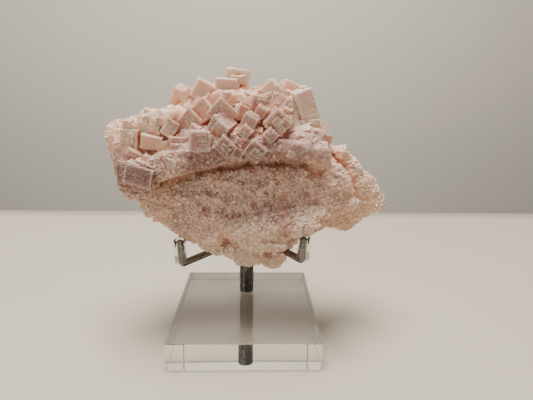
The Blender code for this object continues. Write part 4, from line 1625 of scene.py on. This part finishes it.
@dataclass
class Specimen:
    """Crust, crystals and grains of the halite."""

    stand: Stand
    back_seed: int = 11
    back_count: int = 32
    back_centre: Pair = (-4.0, 82.0)
    back_reach: Pair = (46.0, 24.0)
    back_edges: Pair = (4.5, 9.0)
    back_proud: float = 0.22
    back_tilt: float = 30.0
    back_support_clear: float = 9.0
    ray_start: float = 80.0
    fill_seed: int = 17
    fill_proud: float = 0.32
    fill_pitch: float = 18.0
    fill_yaw: float = 25.0
    fill_stretch: Pair = (0.8, 1.15)
    fill_deepest: float = 7.0
    notch_middle: float = 3.0
    notch_half: float = 6.5
    notch_floor: float = 107.0
    cover_share: float = 0.42
    cover_ahead: float = 1.5
    block_seed: int = 5
    left_ends: float = -24.0
    crevice_depth: float = 1.5
    recess_reach: float = 9.0
    recess_rays: int = 26
    recess_start: float = 0.35
    recess_facing: float = 0.25
    recess_fall: float = 0.6

    def back_cubes(self, skin: BVHTree) -> list[Cube]:
        """Crystals grown by rule over the side that faces away.

        Args:
            skin: The crust's surface.

        Returns:
            The placed crystals, as the solids have them.
        """
        rng = random.Random(self.back_seed)
        clear_top = self.stand.back_top + self.back_support_clear
        cubes: list[Cube] = []
        while len(cubes) < self.back_count:
            angle = rng.uniform(0, 2 * math.pi)
            reach = math.sqrt(rng.random())
            x = self.back_centre[0] + self.back_reach[0] * reach * math.cos(angle)
            z = self.back_centre[1] + self.back_reach[1] * reach * math.sin(angle)
            edge = rng.uniform(*self.back_edges)
            turns = tuple(rng.uniform(-self.back_tilt, self.back_tilt) for _ in range(3))
            hit = skin.ray_cast(Vector((x, self.ray_start, z)) * MM, Vector((0, -1, 0)))[0]
            if hit is None or (abs(x) < self.back_support_clear and z < clear_top):
                continue
            centre = (x, hit.y / MM - edge * (0.5 - self.back_proud), z)
            cubes.append(Cube(f"back_{len(cubes)}", centre, (edge, edge, edge), turns))
        return cubes

    def covers(self, centre: Triple, edge: float, cube: Cube) -> bool:
        """Whether a crystal of some edge length would hide a large one."""
        apart = math.hypot(centre[0] - cube.centre[0], centre[2] - cube.centre[2])
        near = apart < self.cover_share * (edge + min(cube.sizes[0], cube.sizes[2]))
        return near and centre[1] < cube.centre[1] + self.cover_ahead

    def front_cubes(self, skin: BVHTree) -> list[Cube]:
        """Lesser crystals that fill the ground between the large ones.

        Args:
            skin: The crust's surface.

        Returns:
            The placed crystals.
        """
        rng = random.Random(self.fill_seed)
        cubes: list[Cube] = []
        for ground in (ground for ground in GROUNDS for _ in range(ground.count)):
            x, z = rng.uniform(*ground.across), rng.uniform(*ground.up)
            edge = rng.uniform(*ground.edges)
            sizes = tuple(edge * rng.uniform(*self.fill_stretch) for _ in range(3))
            turns = (rng.uniform(-self.fill_pitch, self.fill_pitch), rng.uniform(*ground.rolls),
                     rng.uniform(-self.fill_yaw, self.fill_yaw))
            start = Vector((x, -self.ray_start, z)) * MM
            hit = skin.ray_cast(start, Vector((0, 1, 0)))[0]
            in_notch = abs(x - self.notch_middle) < self.notch_half \
                and z + 0.5 * edge > self.notch_floor
            if hit is None or hit.y > self.fill_deepest * MM or in_notch:
                continue
            centre = (x, hit.y / MM + edge * (0.5 - self.fill_proud), z)
            if not any(self.covers(centre, edge, cube) for cube in CUBES):
                cubes.append(Cube(f"fill_{len(cubes)}", centre, sizes, turns))
        return cubes

    def fine_relief(self, skin: bpy.types.Mesh) -> None:
        """Work grains, ribs and blocky steps into the crust's skin."""
        points, out = positions(skin), normals(skin)
        zones = Zones(points)
        front, wings, satin = zones.front(), zones.wings(), zones.satin()
        shelf = zones.shelf() * (1.0 - satin)
        blocks = np.clip(zones.upper() - zones.shelf(), 0.0, 1.0) * (1.0 - wings)
        rest = np.clip(1.0 - front - blocks - shelf - satin - wings, 0.0, 1.0)
        lift, frost = np.empty(len(points)), np.empty(len(points))
        for index, place in enumerate(points / MM):
            spot = Vector(place)
            broad, mid, fine = (noise.noise(spot / size) for size in (6.5, 2.3, 0.8))
            cell, grain = (0.5 - noise.voronoi(spot / size)[0][0] for size in (1.9, 1.15))
            block = 0.5 - noise.voronoi(spot / 3.4, distance_metric="CHEBYCHEV")[0][0]
            worm = 0.6 - 1.6 * abs(noise.noise(spot / 1.7))
            rib = math.sin(2.0 * math.pi * (spot.z + 1.8 * broad) / 1.4)
            kinds = (
                (front[index], 0.35 * cell + 0.3 * grain + 0.35 * fine + 0.8 * mid + 1.3 * broad,
                 0.2),
                (shelf[index], 0.6 * worm + 0.25 * fine + 0.3 * mid, 0.3),
                (satin[index], 0.1 * fine + 0.12 * mid, 0.25),
                (blocks[index], 0.95 * block + 0.12 * fine, 0.15),
                (wings[index], 0.16 * rib + 0.1 * cell + 0.12 * fine + 0.25 * mid, 0.3),
                (rest[index], 0.4 * cell + 0.25 * fine + 0.5 * mid, 0.3))
            lift[index] = sum(share * height for share, height, _ in kinds)
            pale = sum(share * level for share, _, level in kinds)
            bright = 0.4 * cell + 0.6 * grain + 0.5 * fine + 0.3 * mid
            frost[index] = pale * (1.0 + 4.6 * bright)
        # Paler line along the ridge of the right rim.
        lip = reach_of(CREASES[0].route, zones.x, zones.z)
        frost += 0.5 * hump(0.0, 1.1, lip) * smoothstep(5.0, 0.0, zones.y)
        set_attribute(skin, "frost", np.clip(frost, 0.0, 1.0))
        # Painted shade: the relief's low spots, later added to the shade in hollows.
        set_attribute(skin, "pit", smoothstep(-0.05, -0.75, lift) * (1.0 - 0.6 * wings - satin))
        lift -= self.crevice_depth * zones.crevice() * (0.35 + 1.3 * patchy(points, 6.0, 21.0))
        ahead = smoothstep(0.05, -0.35, out[:, 1]) * smoothstep(5.0, 0.0, zones.y)
        for crease in CREASES:
            away = reach_of(crease.route, zones.x, zones.z)
            lift += crease.lift * ahead * hump(0.0, crease.width, away)
        moved = points + out * lift[:, None] * MM
        set_positions(skin, self.stand.keep_clear(moved))

    def recess(self, mesh: bpy.types.Mesh, skin: BVHTree) -> np.ndarray:
        """Measure how far each point is shut in by what stands round it, for the shade that the
        salt's finish paints into hollows.

        Args:
            mesh: The mesh whose points are measured.
            skin: Everything that shuts them in.

        Returns:
            0 in the open and 1 in a narrow hollow.
        """
        count = self.recess_rays
        golden = math.pi * (3.0 - math.sqrt(5.0))
        height = 1.0 - 2.0 * (np.arange(count) + 0.5) / count
        ring = np.sqrt(1.0 - height ** 2)
        turn = golden * np.arange(count)
        rays = np.stack((ring * np.cos(turn), ring * np.sin(turn), height), axis=1)
        directions = [Vector(ray) for ray in rays]
        points, out = positions(mesh), normals(mesh)
        facing = out @ rays.T
        starts = points + out * self.recess_start * MM
        reach = self.recess_reach * MM
        shut = np.zeros(len(points))
        for index, start in enumerate(starts):
            origin = Vector(start)
            total = blocked = 0.0
            for ray in np.flatnonzero(facing[index] > self.recess_facing):
                weight = facing[index, ray]
                total += weight
                distance = skin.ray_cast(origin, directions[ray], reach)[3]
                if distance is not None:
                    blocked += weight * (1.0 - self.recess_fall * distance / reach)
            shut[index] = blocked / max(total, 1e-6)
        return shut

    def paint(self, mesh: bpy.types.Mesh, skin: BVHTree) -> None:
        """Write the numbers that the salt's finish reads."""
        zones = Zones(positions(mesh))
        set_attribute(mesh, "warmth", zones.warmth())
        # Painted shade where light falls least.
        set_attribute(mesh, "dusk", zones.dusk())
        set_attribute(mesh, "cream", zones.cream())
        # Painted light: the high crystals near the front made paler, as where light from above falls
        # on them.
        high = 0.1 * smoothstep(98.0, 110.0, zones.z) * smoothstep(-17.0, -6.0, zones.y)
        set_attribute(mesh, "frost", np.clip(read_attribute(mesh, "frost") + high, 0.0, 1.0))
        # Painted shade: how far each point is shut in, with the relief's low spots added.
        shut = self.recess(mesh, skin)
        if mesh.attributes.get("pit") is not None:
            shut = np.clip(shut + 0.4 * read_attribute(mesh, "pit"), 0.0, 1.0)
        set_attribute(mesh, "recess", shut)
        if mesh.attributes.get("tint") is None:
            set_attribute(mesh, "tint", np.full(len(mesh.vertices), 0.5))

    def masks(self, mesh: bpy.types.Mesh) -> None:
        """Write where each kind of grain grows."""
        points = positions(mesh)
        zones = Zones(points)
        front, wings, back = zones.front(), zones.wings(), zones.back()
        shelf = zones.shelf() * (1.0 - zones.satin())
        rim = smoothstep(0.6, 0.25, np.abs(normals(mesh)[:, 1])) * (wings + front * zones.low())
        fields = smoothstep(0.4, 0.62, patchy(points, 4.5, 3.0))
        knots = smoothstep(0.52, 0.72, patchy(points, 3.2, 9.0))
        sugar = front * (0.15 + 0.85 * fields) + 0.3 * shelf + 0.1 * wings + 0.05 * back
        crumb = front * (0.05 + 0.8 * knots + 0.3 * zones.low()) + 0.4 * rim + 0.05 * wings
        crumb += 0.5 * shelf * knots + 0.3 * back * knots
        slabs = 0.55 + 0.45 * smoothstep(-31.0, -24.0, zones.x)
        druse = zones.crown() * slabs * (1.0 - wings) + 0.3 * back * knots
        for kind, values in ((Grain.SUGAR, sugar), (Grain.CRUMB, crumb), (Grain.DRUSE, druse)):
            set_attribute(mesh, kind.value, np.clip(values, 0.0, 1.0))

    def crystals(self, skin: BVHTree) -> list[bpy.types.Object]:
        """Grow the clusters of crystals.

        Args:
            skin: The crust's surface.

        Returns:
            The crown, the left block and the back, each one closed skin.
        """
        shape = CrystalShape()
        rng = random.Random(self.block_seed)
        behind = self.back_cubes(skin)
        blocks = [block for cube in CUBES for block in shape.companions(cube, rng)]
        behind += [block for cube in behind for block in shape.companions(cube, rng)]
        ahead = [*CUBES, *blocks, *self.front_cubes(skin)]
        left = [cube for cube in ahead if cube.centre[0] < self.left_ends]
        right = [cube for cube in ahead if cube.centre[0] >= self.left_ends]
        clusters = (("crown_crystals", right, 23), ("left_crystals", left, 29),
                    ("back_crystals", behind, 31))
        return [shape.grown(name, cubes, seed) for name, cubes, seed in clusters]

    def litter(self, cluster: bpy.types.Object, finish: bpy.types.Material
               ) -> list[bpy.types.Object]:
        """Grow chips on the pale edges of a cluster's near crystals, and dust on their faces.

        Args:
            cluster: The crystals, already painted.
            finish: The finish of what is grown.

        Returns:
            The chips and the dust.
        """
        places = positions(cluster.data)
        near = smoothstep(-4.0, -13.0, Zones(places).y)
        edges = smoothstep(0.3, 0.8, read_attribute(cluster.data, "frost")) \
            * smoothstep(0.38, 0.6, patchy(places, 2.6, 5.0))
        dusty = near * smoothstep(0.45, 0.7, patchy(places, 3.0, 8.0))
        set_attribute(cluster.data, Grain.STEP.value, edges * (0.12 + 0.88 * near))
        set_attribute(cluster.data, Grain.SUGAR.value, dusty)
        kinds = (
            Scatter(f"{cluster.name}_chips", Grain.STEP, 1.1, 0.4, 1.2, 0.22, 1.0, 37, False, 0.6),
            Scatter(f"{cluster.name}_dust", Grain.SUGAR, 2.6, 0.25, 0.5, 0.2, 45.0, 19, False,
                    0.55),
        )
        return [kind.grow(cluster.data, finish) for kind in kinds]

    def build(self) -> None:
        """Make and dress the crust, the crystals and the grains."""
        salt, crystal, chips = (finish.material()
                                for finish in (CRUST_SALT, CRYSTAL_SALT, CHIP_SALT))
        crust = Crust().base_mesh()
        skin = BVHTree.FromPolygons(
            [vert.co.copy() for vert in crust.data.vertices],
            [tuple(face.vertices) for face in crust.data.polygons])
        clusters = self.crystals(skin)
        self.fine_relief(crust.data)
        crust.data.shade_smooth()
        work = bmesh.new()
        for piece in (crust, *clusters):
            work.from_mesh(piece.data)
        whole = BVHTree.FromBMesh(work)
        work.free()
        for piece in (crust, *clusters):
            self.paint(piece.data, whole)
        self.masks(crust.data)
        finished = [(grain.grow(crust.data, finish), finish)
                    for grain, finish in zip(CRUST_GRAINS, (chips, salt, salt))]
        for cluster in clusters[:2]:
            finished += [(piece, chips) for piece in self.litter(cluster, chips)]
        crust.name = "crust_body"
        finished = [(crust, salt), *((cluster, crystal) for cluster in clusters), *finished]
        for piece, finish in finished:
            dress(piece, finish, Slot.HALITE, "halite_specimen")


@dataclass(frozen=True)
class Softbox:
    """Square soft light: its place and aim in metres, its side and its power in watts."""

    name: str
    place: Triple
    aim: Triple
    size: float
    power: float
    colour: Colour


@dataclass
class Studio:
    """Pale floor, soft lights and the camera."""

    focal_px: float = 383.7
    frame_px: float = 533.0
    sensor: float = 36.0
    eye: Triple = (3.5, -163.6, 109.5)
    pitch: float = 15.72
    yaw: float = -1.95
    roll: float = 0.95
    floor_back: float = 184.0
    floor_reach: float = 1500.0
    floor_drop: float = 0.1
    blend: float = 22.0
    wall_back: float = 620.0
    table_paint: Colour = (0.60, 0.545, 0.455)
    wall_paint: Colour = (0.83, 0.775, 0.68)
    softboxes: tuple[Softbox, ...] = (
        Softbox("overhead", (-0.06, -0.04, 0.9), (0.0, 0.0, 0.0), 0.42, 14.5, (1.0, 0.95, 0.885)),
        Softbox("window", (-0.55, -0.6, 0.45), (0.0, 0.0, 0.07), 0.3, 1.3, (0.97, 0.985, 1.0)))
    surround: Colour = (0.13, 0.127, 0.12)
    nearest: float = 0.005

    def sheet(self, name: str, corners: Sequence[Triple], finish: MattFinish) -> None:
        """Add one flat sheet of the surroundings.

        Args:
            name: The sheet's name.
            corners: In millimetres, counter-clockwise from its lit side.
            finish: Its finish.
        """
        def fill(work: bmesh.types.BMesh) -> None:
            """Add the one face."""
            work.faces.new([work.verts.new(Vector(corner) * MM) for corner in corners])
        made = add_object(name, mesh_from(fill, name))
        made.data.materials.append(finish.material())

    def room(self) -> None:
        """Pale table that ends a little behind the stand, and a wall far behind it."""
        reach, back, level = self.floor_reach, self.floor_back, -self.floor_drop
        self.sheet("table", ((-reach, -reach, level), (reach, -reach, level),
                             (reach, back, level), (-reach, back, level)),
                   MattFinish("table_paint", self.table_paint, (back - self.blend, back)))
        wide, wall = 2.0 * reach, self.wall_back
        self.sheet("wall", ((-wide, wall, -reach), (wide, wall, -reach),
                            (wide, wall, wide), (-wide, wall, wide)),
                   MattFinish("wall_paint", self.wall_paint))

    def light(self, box: Softbox) -> None:
        """Add a soft light."""
        lamp = bpy.data.lights.new(box.name, "AREA")
        lamp.size = box.size
        lamp.energy = box.power
        lamp.color = box.colour
        made = bpy.data.objects.new(box.name, lamp)
        made.location = box.place
        direction = Vector(box.aim) - Vector(box.place)
        made.rotation_euler = direction.to_track_quat("-Z", "Y").to_euler()
        bpy.context.scene.collection.objects.link(made)

    def lights(self) -> None:
        """Overhead softbox, a small window and a grey surround."""
        for box in self.softboxes:
            self.light(box)
        world = bpy.data.worlds.new("grey_room")
        world.use_nodes = True
        sky = world.node_tree.nodes["Background"]
        sky.inputs["Color"].default_value = (*self.surround, 1.0)
        sky.inputs["Strength"].default_value = 1.0
        bpy.context.scene.world = world

    def camera(self) -> None:
        """Camera at the photograph's place and angle."""
        pitch, yaw, roll = (math.radians(angle) for angle in (self.pitch, self.yaw, self.roll))
        ahead = Vector((-math.sin(yaw) * math.cos(pitch), math.cos(yaw) * math.cos(pitch),
                        -math.sin(pitch)))
        right = Vector((math.cos(yaw), math.sin(yaw), 0.0))
        up = right.cross(ahead)
        across = right * math.cos(roll) + up * math.sin(roll)
        upward = up * math.cos(roll) - right * math.sin(roll)
        turn = Matrix((across, upward, -ahead)).transposed().to_4x4()
        lens = bpy.data.cameras.new("camera")
        lens.sensor_width = self.sensor
        lens.lens = self.focal_px * self.sensor / self.frame_px
        lens.clip_start = self.nearest
        made = bpy.data.objects.new("camera", lens)
        bpy.context.scene.collection.objects.link(made)
        made.matrix_world = Matrix.Translation(Vector(self.eye) * MM) @ turn
        bpy.context.scene.camera = made

    def build(self) -> None:
        """Make the room, the lights and the camera."""
        self.room()
        self.lights()
        self.camera()


def main() -> None:
    """Build the studio, the stand and the specimen in order."""
    logging.basicConfig(level=logging.INFO, format="%(message)s")
    Studio().build()
    stand = Stand()
    stand.build()
    Specimen(stand).build()


if __name__ == "__main__":
    main()
